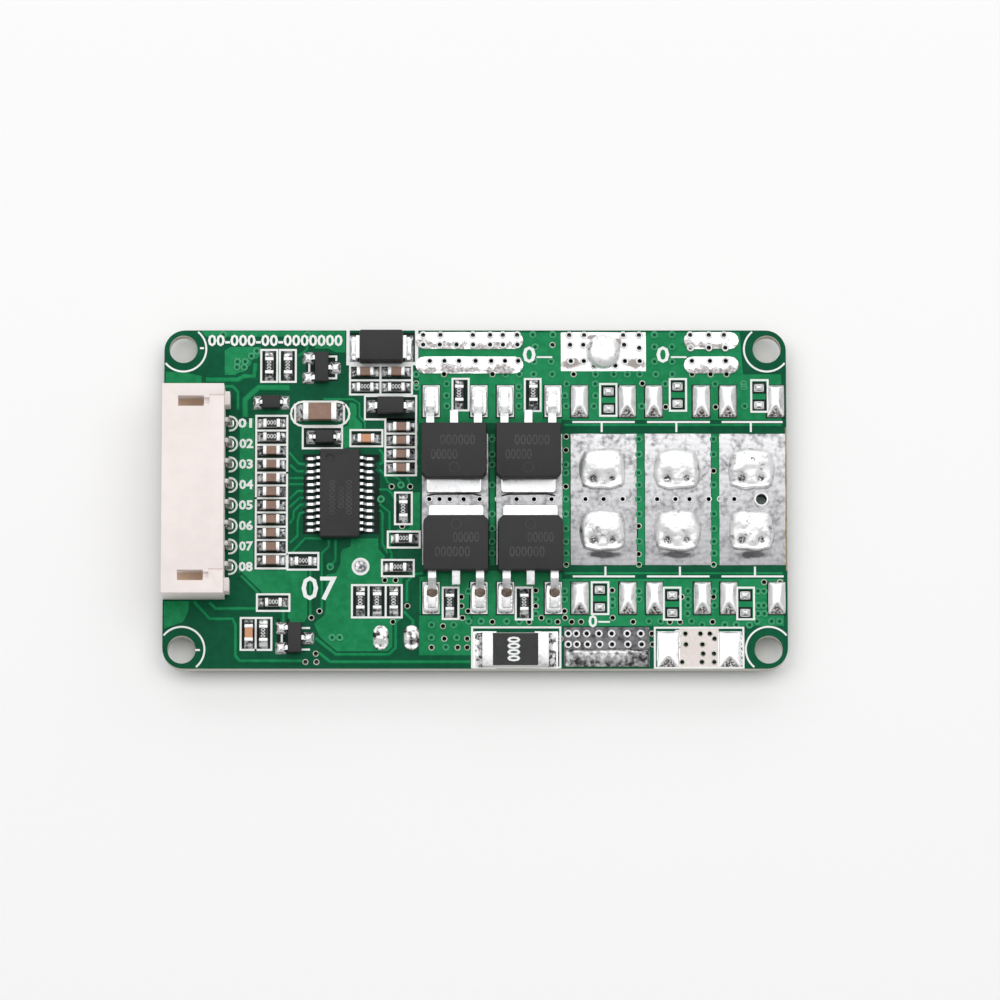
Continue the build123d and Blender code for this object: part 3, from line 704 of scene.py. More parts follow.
COVERED_VIA_ROWS = (
    (16.0, (-24.35, -16.2, 5.65, 7.6, 17.44, 19.15)),
    (14.8, (5.87, 17.44, 19.13)),
    (14.4, (-21.1,)),
    (13.9, (-21.6,)),
    (13.35, (-22.95, -22.2, 5.77, 7.41, 17.44, 19.15)),
    (12.8, (-23.0, -22.3)),
    (12.1, (-5.64, 3.0, 4.33, 5.72, 7.53, 11.72, 13.48, 14.8, 16.0, 17.56, 19.16)),
    (11.15, (-2.7, 8.93, 11.69, 18.47, 23.3, 26.06)),
    (10.85, (-5.62, 4.3, 26.08)),
    (9.98, (-2.7, 4.3, 8.74, 11.72)),
    (8.95, (-2.67, 4.3, 8.87, 11.56, 16.17, 26.15)),
    (5.7, (1.7, 15.9, 23.1)),
    (4.2, (1.7, 15.9, 23.1)),
    (3.2, (1.7, 8.8)),
    (2.4, (8.8, 15.85)),
    (1.2, (-7.1, 1.7, 15.9, 23.1)),
    (-0.2, (-9.03, 8.8, 15.85)),
    (-1.65, (1.7, 8.8, 15.9, 23.1)),
    (-3.1, (1.7, 8.8, 23.1)),
    (-4.35, (1.7, 8.8, 15.9, 23.1)),
    (-5.5, (1.7, 8.8, 23.1)),
    (-6.82, (-13.9,)),
    (-9.2, (-0.6, 8.67, 15.85, 20.56, 23.1, 27.3, 27.86)),
    (-10.0, (5.9, 8.67, 13.29, 15.85, 20.56)),
    (-10.6, (13.29, 20.56, 23.1, 27.36, 27.85)),
    (-11.4, (5.9, 20.5, 27.3, 27.9)),
    (-12.15, (-0.56, 0.64, 3.1, 4.3, 7.17, 16.8, 17.9, 20.9, 27.2, 28.6, 29.37)),
    (-12.5, (-4.13, -2.0, 21.9, 24.1, 25.2, 26.48)),
    (-13.73, (-13.7, -12.97, -4.15, -1.7)),
    (-14.67, (-2.75,)),
)
VIA_RADIUS = 0.22
VIA_SIDES = 10
DRAIN_HOLE = (27.7, -0.2, 0.525)
WIDE_HOLE = 0.4
MOUNTING_HOLE_SIDES = 48
PIN_HOLE_RADIUS = 0.4 * MM
pin_x = sum(corner.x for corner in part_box("connector_solder")) / 2


def places(rows):
    """Every (x, y) of a list of rows."""
    return [(x, y) for y, xs in rows for x in xs]


def mounting_holes():
    """Middle and radius of each mounting hole, from the record, in metres."""
    mount = next(m for m in frame["record"]["mounts"] if m["name"] == "mounting_holes")
    half_x = mount["dims"]["spacing_x_mm"] * MM / 2
    half_y = mount["dims"]["spacing_y_mm"] * MM / 2
    radius = mount["dims"]["hole_r_mm"] * MM
    return [(sx * half_x, sy * half_y, radius) for sx in (-1, 1) for sy in (-1, 1)]


open_vias = places(OPEN_VIA_ROWS)
covered_vias = places(COVERED_VIA_ROWS)
drilled = [(x, y, VIA_RADIUS) for x, y in open_vias] + [DRAIN_HOLE]


# Copper under the mask: wide pours, and tracks

SHEET_RISE = 0.03 * MM

POURS = (
    # power side: source pours above and below, and the columns between the drain lands
    [(-5.4, 7.3), (8.4, 7.3), (8.4, 7.6), (29.7, 7.6), (29.7, 12.1), (26.0, 12.1), (25.7, 16.25),
     (-5.4, 16.25)],
    [(-5.3, -7.2), (8.4, -7.2), (8.4, -8.0), (29.8, -8.0), (29.8, -12.6), (-0.2, -12.6), (-0.2, -11.4),
     (-5.3, -11.4)],
    [(1.5, 6.25), (1.95, 6.25), (1.95, -6.65), (1.5, -6.65)],
    [(8.45, 6.25), (9.2, 6.25), (9.2, -6.65), (8.45, -6.65)],
    [(15.7, 6.25), (16.4, 6.25), (16.4, -6.65), (15.7, -6.65)],
    [(22.9, 6.25), (23.6, 6.25), (23.6, -6.65), (22.9, -6.65)],
    # control side
    [(-24.2, 14.45), (-23.58, 14.82), (-20.71, 14.82), (-20.7, 14.08), (-21.86, 12.89), (-22.21, 12.34),
     (-22.93, 12.25), (-23.19, 12.02), (-24.18, 12.06)],
    [(-5.33, -11.55), (-0.3, -11.55), (-0.3, -15.46), (-5.33, -15.46)],
    [(-11.9, -4.04), (-9.3, -4.04), (-9.27, -5.04), (-8.58, -5.83), (-8.97, -6.23), (-8.96, -7.75),
     (-6.95, -7.88), (-6.9, -11.83), (-7.45, -12.23), (-7.78, -12.62), (-7.77, -14.66), (-8.29, -15.18),
     (-13.28, -15.18), (-14.97, -13.54), (-15.43, -12.42), (-15.17, -12.09), (-14.46, -11.57),
     (-14.34, -11.04), (-14.29, -7.61), (-13.38, -7.41), (-12.93, -6.56), (-12.91, -5.5), (-12.74, -5.1),
     (-11.96, -4.84)],
    [(-22.7, 7.8), (-21.3, 7.8), (-21.3, -7.15), (-16.11, -7.15), (-16.08, -11.7), (-16.4, -12.22),
     (-17.96, -12.22), (-17.96, -9.46), (-20.46, -9.46), (-20.66, -9.26), (-22.29, -7.61), (-22.7, -7.6)],
    [(-7.48, -3.1), (-6.4, -3.1), (-6.06, -2.6), (-6.06, 0.47), (-5.27, 0.47), (-5.26, -3.38), (-7.4, -3.38)],
    [(-29.9, 12.38), (-28.03, 12.3), (-26.14, 11.88), (-26.31, 11.24), (-29.9, 11.24)],
    [(-29.9, -10.18), (-27.46, -10.18), (-27.58, -11.3), (-28.08, -12.22), (-29.9, -12.87)],
    [(-26.5, 16.4), (-12.51, 16.4), (-12.5, 14.27), (-13.4, 14.27), (-14.2, 14.64), (-15.46, 14.64),
     (-15.47, 15.83), (-26.0, 15.82)],
    [(-12.07, 9.32), (-11.45, 9.23), (-11.3, 7.86), (-10.77, 7.13), (-10.94, 6.58), (-12.06, 6.58),
     (-12.05, 4.94), (-12.63, 4.75), (-12.73, 6.85), (-12.19, 7.04)],
)

UNDERSIDE_POURS = (
    [(-5.3, 16.2), (-5.3, 7.0), (29.6, 7.0), (29.6, 11.8), (26.2, 11.8), (26.0, 16.2)],
    [(-5.3, -6.9), (-5.3, -16.0), (26.0, -16.0), (26.2, -12.0), (29.6, -12.0), (29.6, -6.9)],
    [(-5.3, 6.5), (1.6, 6.5), (1.6, -6.4), (-5.3, -6.4)],
    [(2.0, 6.5), (8.7, 6.5), (8.7, -6.4), (2.0, -6.4)],
    [(9.2, 6.5), (15.7, 6.5), (15.7, -6.4), (9.2, -6.4)],
    [(16.3, 6.5), (22.7, 6.5), (22.7, -6.4), (16.3, -6.4)],
    [(23.3, 6.5), (29.6, 6.5), (29.6, -6.4), (23.3, -6.4)],
    [(-21.6, 15.9), (-5.9, 15.9), (-5.9, -15.9), (-25.0, -15.9), (-25.0, -12.4), (-21.6, -10.0)],
)

# How far tracks and the gaps beside them stay off open holes, in steps; how wide a gap is, and a
# track's height as a share of its half width
TRACK_CLEARANCE = 0.28
GAP_CLEARANCE = 0.39
STEP_BACK = 0.05
GAP_WIDTH = 0.15
TRACK_FLATNESS = 0.28

# Each track: its width, then its corners
TRACKS = (
    (0.55, ((-26.0, 11.55), (-22.9, 11.55), (-22.3, 11.9), (-21.3, 11.9), (-21.2, 13.2))),
    (0.7, ((-22.2, 7.9), (-22.2, 9.6), (-20.9, 10.75), (-17.9, 10.75))),
    (0.3, ((-17.9, 4.4), (-17.0, 3.3), (-16.4, 3.2))),
    (0.3, ((-17.81, 3.19), (-17.15, 2.53), (-16.5, 2.53))),
    (0.3, ((-17.93, 1.86), (-16.5, 1.86))),
    (0.3, ((-17.93, 1.27), (-16.5, 1.27))),
    (0.3, ((-17.85, -0.2), (-17.07, 0.6), (-16.5, 0.6))),
    (0.3, ((-17.85, -0.99), (-16.87, -0.06), (-16.5, -0.06))),
    (0.3, ((-17.83, -2.58), (-17.45, -2.05), (-17.45, -1.39), (-16.81, -0.73), (-16.5, -0.73))),
    (0.3, ((-17.82, -4.5), (-17.05, -3.78), (-17.06, -2.32), (-16.86, -1.59), (-16.4, -1.46))),
    (0.3, ((-17.55, -5.36), (-16.33, -4.04), (-14.7, -4.04))),
    (0.3, ((-15.83, -7.15), (-15.8, -11.7))),
    (0.3, ((-14.05, -4.17), (-14.05, -4.84), (-14.73, -5.5), (-14.7, -11.05))),
    (0.3, ((-13.4, -4.17), (-13.39, -6.16), (-13.91, -6.82))),
    (0.3, ((-9.18, -0.66), (-8.2, -1.46), (-8.19, -5.1), (-7.99, -5.5), (-7.99, -6.16))),
    (0.3, ((-9.18, -1.26), (-8.89, -1.52), (-8.88, -4.57), (-8.38, -5.5))),
    (0.3, ((-9.2, 2.7), (-8.8, 2.4), (-8.4, 1.5), (-8.0, 1.17))),
    (0.3, ((-8.7, 2.1), (-7.8, 2.1), (-7.2, 1.7), (-7.05, 1.3))),
    (0.3, ((-6.5, 1.95), (-6.35, 1.6), (-6.2, 1.0))),
    (0.3, ((-9.2, 0.75), (-8.4, 0.75), (-8.0, 0.4), (-7.7, -0.2))),
    (0.3, ((-9.2, 4.7), (-8.85, 4.3), (-8.85, 3.4), (-9.2, 3.2))),
    (0.3, ((-22.5, -7.7), (-20.8, -9.4))),
    (0.35, ((-25.5, -10.3), (-24.9, -10.9), (-21.0, -10.9))),
    (0.35, ((-27.0, -10.2), (-25.5, -11.9), (-23.3, -11.9), (-23.0, -12.5), (-23.0, -15.5), (-22.6, -16.0),
            (-16.3, -16.0))),
    (0.35, ((-18.4, -11.1), (-18.4, -12.2))),
    (0.35, ((-15.29, -13.8), (-13.34, -15.38), (-8.22, -15.38), (-7.58, -14.73), (-7.58, -12.23))),
    (0.35, ((-15.1, -15.1), (-13.9, -16.1), (-0.4, -16.1))),
    (0.25, ((-14.62, 9.64), (-11.76, 9.64), (-11.13, 9.23), (-11.13, 7.95), (-10.59, 7.31), (-10.59, 6.76))),
    (0.35, ((-5.0, -7.45), (-5.9, -7.6), (-6.5, -8.3), (-6.5, -10.2))),
    (0.35, ((-6.8, -11.2), (-5.9, -12.1), (-5.95, -12.5))),
    (0.35, ((-25.5, 10.2), (-24.9, 10.9), (-23.4, 10.9), (-22.9, 10.4), (-22.9, 8.6))),
    (0.25, ((8.7, 7.1), (29.7, 7.1))),
    (0.25, ((8.7, -7.45), (29.7, -7.45))),
    (0.3, ((-17.0, 13.9), (-16.2, 14.6), (-16.2, 16.1))),
)


# Bare board, drilled through

def make_board():
    """The laminate with its corners, mounting holes, pin holes and via holes."""
    outline = []
    for side_x, side_y, begin in ((1, 1, 0), (-1, 1, 90), (-1, -1, 180), (1, -1, 270)):
        outline += arc(side_x * (BOARD_HALF_X - CORNER_RADIUS), side_y * (BOARD_HALF_Y - CORNER_RADIUS),
                       CORNER_RADIUS, begin, begin + 90, 8)
    loops = [outline] + [circle(*hole, MOUNTING_HOLE_SIDES) for hole in mounting_holes()]
    for x, y, radius in drilled:
        loops.append(circle(*on_board(x, y), radius * MM, 24 if radius > WIDE_HOLE else VIA_SIDES))
    for low, high in solids("connector_pins"):
        loops.append(circle(pin_x, (low.y + high.y) / 2, PIN_HOLE_RADIUS, 16))
    sheet_from_loops("drilled_board", loops, board_low.z, BOARD_TOP, "board_mask", "board_laminate",
                     replaced=("circuit_board",))


def clear_of_vias(route, limit):
    """The same route with each end drawn back from the open holes, to a limit in millimetres."""
    route = [Vector(point) for point in route]
    for end, beside in ((0, 1), (-1, -2)):
        back = (route[beside] - route[end]).normalized() * STEP_BACK
        while any(math.hypot(route[end].x - x, route[end].y - y) < limit for x, y, radius in drilled):
            route[end] += back
    return route


def make_copper():
    """Raised sheets and tracks of copper under the mask, on both faces."""
    skin = 0.002 * MM
    crest = BOARD_TOP + SHEET_RISE
    mask = ("mask_over_copper", "board_laminate")
    cut_sheet("copper_pours", POURS, BOARD_TOP - skin, crest, *mask)
    cut_sheet("underside_pours", UNDERSIDE_POURS, board_low.z - SHEET_RISE, board_low.z + skin, *mask)
    curve = bpy.data.curves.new("tracks", "CURVE")
    curve.dimensions = "3D"
    curve.bevel_depth = 0.5 * MM
    curve.bevel_resolution = 1
    curve.use_fill_caps = True
    gaps = bmesh.new()
    for width, corners in TRACKS:
        route = clear_of_vias(corners, TRACK_CLEARANCE)
        for point in add_spline(curve, [on_board(*place) for place in route]).points:
            point.radius = width
        route = clear_of_vias(corners, width / 2 + GAP_CLEARANCE)
        for start, end in zip(route, route[1:]):
            add_line(gaps, start, end, (width + 2 * GAP_WIDTH) * MM, BOARD_TOP - skin, crest + skin)
    mesh = mesh_of(curve)
    tracks = bmesh.new()
    tracks.from_mesh(mesh)
    bpy.data.meshes.remove(mesh)
    for vert in tracks.verts:
        vert.co.z = crest + vert.co.z * TRACK_FLATNESS
    finish_piece("copper_tracks", tracks, *mask, smooth=True)
    finish_piece("track_gaps", gaps, "board_mask", "board_laminate")


# Plated holes

def add_turned(shape, x, y, profile, sides):
    """A closed profile, as distances from an upright axis and heights, turned about the axis."""
    verts = [shape.verts.new((x + across, y, up)) for across, up in profile]
    edges = [shape.edges.new((verts[k - 1], verts[k])) for k in range(len(verts))]
    bmesh.ops.spin(shape, geom=verts + edges, cent=(x, y, 0), axis=(0, 0, 1), angle=2 * math.pi,
                   steps=sides, use_merge=True)


def add_eyelet(shape, x, y, inner, outer, top, sides=VIA_SIDES):
    """A plated hole: a rounded rim on each face, and the wall between them; sizes in metres."""
    rise = 0.045 * MM
    low = board_low.z
    add_turned(shape, x, y, (
        (inner, top - 0.03 * MM), (inner + 0.03 * MM, top + rise), (outer, top + rise * 0.7),
        (outer + 0.02 * MM, top - 0.01 * MM), (inner + 0.04 * MM, top - 0.05 * MM),
        (inner + 0.04 * MM, low + 0.05 * MM), (outer + 0.02 * MM, low + 0.01 * MM),
        (outer, low - rise * 0.7), (inner + 0.03 * MM, low - rise), (inner, low + 0.03 * MM)), sides)


def holds(box, x, y, room=0.0):
    """Whether a box's plan holds a place, with room to its edges."""
    low, high = box
    return low.x + room < x < high.x - room and low.y + room < y < high.y - room


def make_vias():
    """Open vias as plated eyelets through the board, and covered ones as rings under the mask."""
    plated = bmesh.new()
    rims = bmesh.new()
    tinned = [(box, STRIP_TOP, 0.37) for box in solids("solder_strips")]
    tinned += [(box, LAND_TOP, 0.33) for box in solids("drain_lands")]
    tinned += [(box, LAND_TOP, 0.38) for box in solids("power_lands")]
    for via in open_vias:
        x, y = on_board(*via)
        fit = next((item for item in tinned if holds(item[0], x, y)), None)
        if fit:
            add_eyelet(rims, x, y, 0.2 * MM, fit[2] * MM, fit[1])
        else:
            add_eyelet(plated, x, y, 0.2 * MM, 0.3 * MM, BOARD_TOP + 0.02 * MM)
    add_eyelet(rims, *on_board(*DRAIN_HOLE[:2]), 0.5 * MM, 0.72 * MM, LAND_TOP, 24)
    for name, shape, material in (("open_vias", plated, "via_plating"), ("tinned_vias", rims, "via_tin")):
        bmesh.ops.remove_doubles(shape, verts=shape.verts, dist=MERGE_REACH)
        finish_piece(name, shape, material, "tinned_copper", smooth=True)

    covered = bmesh.new()
    dimples = bmesh.new()
    base = BOARD_TOP + SHEET_RISE * 0.7
    crest = 0.055 * MM
    ring = ((0.14, 0.0), (0.17, 0.55), (0.26, 1.0), (0.35, 0.75), (0.42, 0.0))
    for via in covered_vias:
        x, y = on_board(*via)
        add_turned(covered, x, y, [(across * MM, base + up * crest) for across, up in ring], 12)
        bmesh.ops.create_cone(dimples, cap_ends=True, segments=8, radius1=0.17 * MM, radius2=0.15 * MM,
                              depth=0.02 * MM, matrix=Matrix.Translation((x, y, BOARD_TOP + SHEET_RISE)))
    bmesh.ops.remove_doubles(covered, verts=covered.verts, dist=MERGE_REACH)
    piece = finish_piece("covered_vias", covered, "mask_over_ring", "board_laminate", smooth=True)
    # Painted shade: each ring darkens towards its low flanks.
    stain_and_shade(piece, [lambda place: 1.15 - (place.z - base) / crest * 1.3])
    finish_piece("covered_via_centres", dimples, "board_mask", "board_laminate")


# White print

PRINT_LOW = BOARD_TOP - 0.005 * MM
PRINT_TOP = BOARD_TOP + 0.08 * MM
LINE = 0.19 * MM
# The ring round a mounting hole: its radius, and its end on either side of inward, in degrees
HOLE_RING_REACH = 2.2 * MM
HOLE_RING_END = 150

# Boxes around parts: left, bottom, right, top
PRINT_BOXES = (
    (-21.1, -6.98, -18.1, 8.0), (-18.03, -7.1, -15.05, -5.46),
    (-20.65, 11.35, -19.1, 14.5), (-18.85, 11.35, -17.3, 14.5),
    (-12.05, 10.1, -6.05, 12.95), (-12.0, 5.0, -8.9, 6.6), (-8.62, 2.15, -5.65, 7.65),
    (-7.67, -2.65, -6.05, 0.45), (-8.36, -4.94, -5.28, -3.37), (-8.92, -7.75, -5.85, -6.15),
    (-11.8, -11.77, -7.0, -8.61), (-20.95, -11.13, -17.82, -9.51), (-22.5, -14.93, -19.54, -11.82),
    (-2.13, 8.53, -0.56, 11.65), (4.87, 8.47, 6.4, 11.63), (-3.06, -11.92, -1.54, -8.85),
    (3.97, -11.97, 5.56, -8.85), (12.15, 8.0, 13.74, 11.14), (18.9, 8.5, 20.48, 11.63),
    (26.78, 8.4, 28.38, 11.52), (11.3, -11.44, 12.9, -8.33), (18.23, -11.98, 19.84, -8.86),
    (25.3, -11.95, 26.92, -8.86), (-10.6, 7.65, -5.64, 9.96), (-16.6, 4.8, -12.8, 6.9),
    (-0.23, -16.64, 8.26, -12.74), (17.35, -16.69, 25.87, -12.77),
)
# Single lines: from, to
PRINT_LINES = (
    tuple(((-21.1, y), (-18.1, y)) for y in (6.55, 5.14, 3.75, 2.4, 1.15, -0.1, -1.5, -2.9, -4.2, -5.6))
    + tuple(((-8.62, y), (-5.65, y)) for y in (6.25, 4.91, 3.53))
    + tuple(((x, -11.77), (x, -8.61)) for x in (-10.2, -8.55))
    + (((-9.1, 10.1), (-9.1, 12.95)), ((-12.05, 11.5), (-6.05, 11.5)))
    + (((-21.05, -14.93), (-21.05, -11.82)), ((-17.35, 7.3), (-17.35, 9.1)), ((-12.62, 7.3), (-12.62, 9.1)))
    + tuple(((left, 7.39), (right, 7.39)) for left, right in ((9.56, 15.4), (16.78, 22.67), (24.0, 29.7)))
    + tuple(((x, 7.39), (x, 6.5)) for x in (12.3, 19.52, 26.72))
    + tuple(((left, -7.76), (right, -7.76)) for left, right in ((9.56, 15.37), (16.7, 22.55), (23.9, 29.7)))
    + tuple(((x, -7.76), (x, -6.9)) for x in (12.62, 19.8, 27.03))
    + (((-26.5, 14.68), (-26.3, 14.68)), ((-26.75, -14.95), (-26.5, -14.95)))
    + (((-16.0, 13.05), (-16.0, 12.4)), ((-14.15, 13.86), (-13.38, 13.86)), ((-13.38, 13.86), (-13.38, 13.5)))
    + (((-14.15, 11.7), (-13.38, 11.7)), ((-13.38, 11.7), (-13.38, 12.06)))
    + (((-18.54, -13.5), (-18.54, -14.08)), ((-16.6, -12.8), (-15.92, -12.8)),
       ((-16.6, -14.9), (-15.92, -14.9)))
)
# The bolder frame round the surge diode, open at the board's edge
PRINT_FRAME = ((-12.25, 16.3), (-12.25, 13.15), (-5.6, 13.15), (-5.6, 16.3))
# Minus signs beside the wire lands: from, to
PRINT_DASHES = (
    ((6.1, 13.79), (7.45, 13.79)), ((19.1, 13.79), (20.45, 13.79)), ((12.0, -12.2), (12.95, -12.2)))
PIN_LABEL_X = -22.05
# Plain numbers where the real board has its labels: digits, x, y, size, width
PRINT_NUMBERS = (
    ("00-000-00-0000000", -19.3, 15.38, 1.5, 13.0), ("07", -15.0, -9.05, 3.2, 3.4),
    ("0", 5.3, 13.95, 2.2, 1.25), ("0", 18.25, 13.95, 2.2, 1.25), ("0", 11.4, -12.2, 1.6, 0.85))


def add_digits(shape, text, x, y, size, low, high, turn=0.0, width=None, weight=0.0):
    """Plain digits centred on a place given in metres, drawn out to a width if one is given."""
    curve = bpy.data.curves.new("digits", "FONT")
    curve.body = text
    curve.size = size
    curve.align_x = "CENTER"
    curve.align_y = "CENTER"
    curve.resolution_u = 2
    curve.offset = weight
    curve.extrude = (high - low) / 2
    mesh = mesh_of(curve)
    across = [vert.co.x for vert in mesh.vertices]
    draw = width / (max(across) - min(across)) if width else 1.0
    place = Matrix.Translation((x, y, (low + high) / 2)) @ Matrix.Rotation(turn, 4, "Z")
    mesh.transform(place @ Matrix.Diagonal((draw, 1, 1, 1)))
    shape.from_mesh(mesh)
    bpy.data.meshes.remove(mesh)


def add_arc(shape, x, y, radius, width, low, high, begin=0, end=360, steps=24):
    """A printed arc about a place given in metres, between two angles in degrees."""
    inner = radius - width / 2
    corners = ((inner, low), (inner + width, low), (inner + width, high), (inner, high))
    place = Matrix.Translation((x, y, 0)) @ Matrix.Rotation(math.radians(begin), 4, "Z")
    verts = [shape.verts.new(place @ Vector((across, 0, up))) for across, up in corners]
    face = shape.faces.new(verts)
    bmesh.ops.spin(shape, geom=[face, *face.edges, *verts], cent=(x, y, 0), axis=(0, 0, 1),
                   angle=math.radians(end - begin), steps=steps, use_merge=False)


def visible_spans(x, y):
    """Stretches, in degrees, of the ring round a mounting hole that lie on the board."""
    clear_x = math.degrees(math.acos(min(1, (BOARD_HALF_X - 0.1 * MM - abs(x)) / HOLE_RING_REACH)))
    clear_y = math.degrees(math.acos(min(1, (BOARD_HALF_Y - 0.1 * MM - abs(y)) / HOLE_RING_REACH)))
    side_x = 0 if x > 0 else 180
    side_y = 90 if y > 0 else -90
    inward = math.degrees(math.atan2(-y, -x))
    spans = []
    begin = None
    step = 3
    for turn in range(-180, 181 + step, step):
        angle = inward + turn
        from_x = abs((angle - side_x + 180) % 360 - 180)
        from_y = abs((angle - side_y + 180) % 360 - 180)
        clear = from_x > clear_x and from_y > clear_y and abs(turn) < HOLE_RING_END
        if clear and begin is None:
            begin = angle
        if not clear and begin is not None:
            spans.append((begin, angle - step))
            begin = None
    return [span for span in spans if span[1] - span[0] > step]


def make_print():
    """All the white print: boxes, lines, rings, dashes, and plain numbers in place of the labels."""
    levels = (PRINT_LOW, PRINT_TOP)
    ink = bmesh.new()
    boxes = [side for box in PRINT_BOXES for side in sides_of(rectangle(*box))]
    for start, end in (*boxes, *PRINT_LINES):
        add_line(ink, start, end, LINE, *levels)
    for start, end in PRINT_DASHES:
        add_line(ink, start, end, 0.17 * MM, *levels)
    for start, end in zip(PRINT_FRAME, PRINT_FRAME[1:]):
        add_line(ink, start, end, 0.32 * MM, PRINT_LOW, PRINT_TOP - 0.004 * MM)
    finish_piece("print_lines", ink, "white_ink", "board_laminate")

    rings = bmesh.new()
    pins = solids("connector_pins")
    for x, y, _ in mounting_holes():
        for begin, end in visible_spans(x, y):
            add_arc(rings, x, y, HOLE_RING_REACH, 0.18 * MM, *levels, begin, end)
    for low, high in pins:
        add_arc(rings, pin_x, (low.y + high.y) / 2, 0.68 * MM, LINE, *levels, -100, 100, 14)
    for start, end in sides_of(obround(-17.75, 7.0, -12.1, 9.4)):
        add_line(rings, start, end, LINE, *levels)
    low, high = max(solids("empty_chip_lands"), key=lambda box: box[1].x - box[0].x)
    add_arc(rings, (low.x + high.x) / 2, (low.y + high.y) / 2, 0.76 * MM, 0.2 * MM, *levels)
    finish_piece("print_rings", rings, "white_ink", "board_laminate")

    numbers = bmesh.new()
    for index, (low, high) in enumerate(sorted(pins, key=lambda box: -box[0].y)):
        add_digits(numbers, f"0{index + 1}", on_board(PIN_LABEL_X, 0)[0], (low.y + high.y) / 2, 1.2 * MM,
                   *levels, width=1.35 * MM, weight=0.045 * MM)
    for text, x, y, size, width in PRINT_NUMBERS:
        add_digits(numbers, text, *on_board(x, y), size * MM, *levels, width=width * MM, weight=0.04 * MM)
    finish_piece("print_numbers", numbers, "white_ink", "board_laminate")


def make_part_marks():
    """A white field on the empty shunt place, and plain digits on the resistors and the shunt."""
    cut_sheet("print_field", (rectangle(19.7, -16.6, 23.5, -12.85),), PRINT_LOW, BOARD_TOP + 0.045 * MM,
              "field_ink", "board_laminate")
    edge = bmesh.new()
    add_block(edge, (BOARD_HALF_X - 0.13 * MM, -7.0 * MM, BOARD_TOP - 0.01 * MM),
              (BOARD_HALF_X, 7.0 * MM, BOARD_TOP + 0.02 * MM))
    finish_piece("bare_edge", edge, "cut_laminate", "board_laminate")
    digits = bmesh.new()
    for low, high in solids("chip_resistor_coatings") + solids("gate_resistor_coatings"):
        centre = (low + high) / 2
        turn = math.pi / 2 if high.y - low.y > high.x - low.x else 0.0
        add_digits(digits, "000", centre.x, centre.y, 0.62 * MM, high.z - 0.005 * MM, high.z + 0.012 * MM,
                   turn)
    low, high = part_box("current_shunt_coating")
    centre = (low + high) / 2
    add_digits(digits, "0000", centre.x - 0.1 * MM, centre.y, 1.6 * MM, high.z - 0.005 * MM,
               high.z + 0.015 * MM, math.pi / 2, width=2.4 * MM, weight=0.06 * MM)
    finish_piece("part_marks", digits, "white_ink", "resistor_glaze")


# Faint marks, as digits, their place from the body's middle, and their width where it is set
TRANSISTOR_MARKS = (("000000", 0.35, 1.0, 3.4), ("00000", -0.95, -0.4, 2.55))
MONITOR_MARKS = (("00000000", 0.85), ("00000", 0.1), ("00000000", -0.75))


def make_body_marks():
    """Faint plain digits and a shallow ejector ring on the moulded bodies."""
    marks = bmesh.new()
    for number in POWER_TRANSISTORS:
        low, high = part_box(f"power_transistor_{number}_body")
        centre = (low + high) / 2
        side = 1 if centre.y > 0 else -1
        levels = (high.z - 0.004 * MM, high.z + 0.003 * MM)
        for text, across, along, width in TRANSISTOR_MARKS:
            add_digits(marks, text, centre.x + side * across * MM, centre.y + side * along * MM, 1.45 * MM,
                       *levels, turn=math.pi if side > 0 else 0.0, width=width * MM, weight=0.02 * MM)
        add_arc(marks, centre.x, centre.y - side * 1.75 * MM, 0.48 * MM, 0.05 * MM, *levels)
    low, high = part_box("monitor_chip_body")
    centre = (low + high) / 2
    levels = (high.z - 0.004 * MM, high.z + 0.003 * MM)
    for text, across in MONITOR_MARKS:
        add_digits(marks, text, centre.x + across * MM, centre.y - 0.5 * MM, 0.85 * MM, *levels,
                   turn=-math.pi / 2)
    finish_piece("body_marks", marks, "laser_mark", "mould_compound")


# Painted shade: thin dark sheets around the small lands

DARK_TOP = BOARD_TOP + 0.036 * MM
DARK_LOW = BOARD_TOP - 0.01 * MM
# Most of the printed boxes, and further places: left, bottom, right, top
DARK_BOXES = PRINT_BOXES[:17] + PRINT_BOXES[23:-2] + (
    (-16.55, -3.6, -15.0, 4.2), (-11.1, -3.6, -9.15, 4.2), (-15.5, 11.45, -13.2, 14.1),
    (-16.3, 11.5, -15.4, 14.0), (-17.0, -14.5, -15.9, -13.2), (-19.0, -15.3, -17.8, -11.9),
    (-12.3, 13.1, -5.7, 16.2))


def make_dark_margins():
    """Thin dark sheets of painted shade inside the printed boxes, under the lead rows and round the
    transistor lands.
    """
    dark = bmesh.new()
    for left, bottom, right, top in DARK_BOXES:
        add_block(dark, (*on_board(left, bottom), DARK_LOW), (*on_board(right, top), DARK_TOP))
    small = [box for box in solids("empty_chip_lands") if box[1].x - box[0].x < 1.1 * MM]
    for boxes, margin, upper in (
            (solids("source_gate_lands"), 0.14 * MM, 0.07 * MM), (small, 0.2 * MM, 0.2 * MM)):
        for low, high in boxes:
            add_block(dark, (low.x - margin, low.y - margin, DARK_LOW),
                      (min(high.x + upper, BOARD_HALF_X), high.y + upper, DARK_TOP - 0.001 * MM))
    finish_piece("painted_shade_sheets", dark, "painted_shade_sheets", "board_laminate")


# Tin and solder

# Chip parts, and their solder in millimetres: how far it reaches from the middle, half its width, its height
CHIP_SOLDER = (
    ("chip_resistor_bodies", 1.33, 0.43, 0.36), ("gate_resistor_bodies", 1.33, 0.43, 0.36),
    ("filter_capacitor_bodies", 1.33, 0.43, 0.45), ("service_capacitor_bodies", 1.33, 0.43, 0.45),
    ("supply_capacitor_body", 2.15, 0.85, 0.6), ("current_shunt_body", 4.0, 1.7, 0.5))


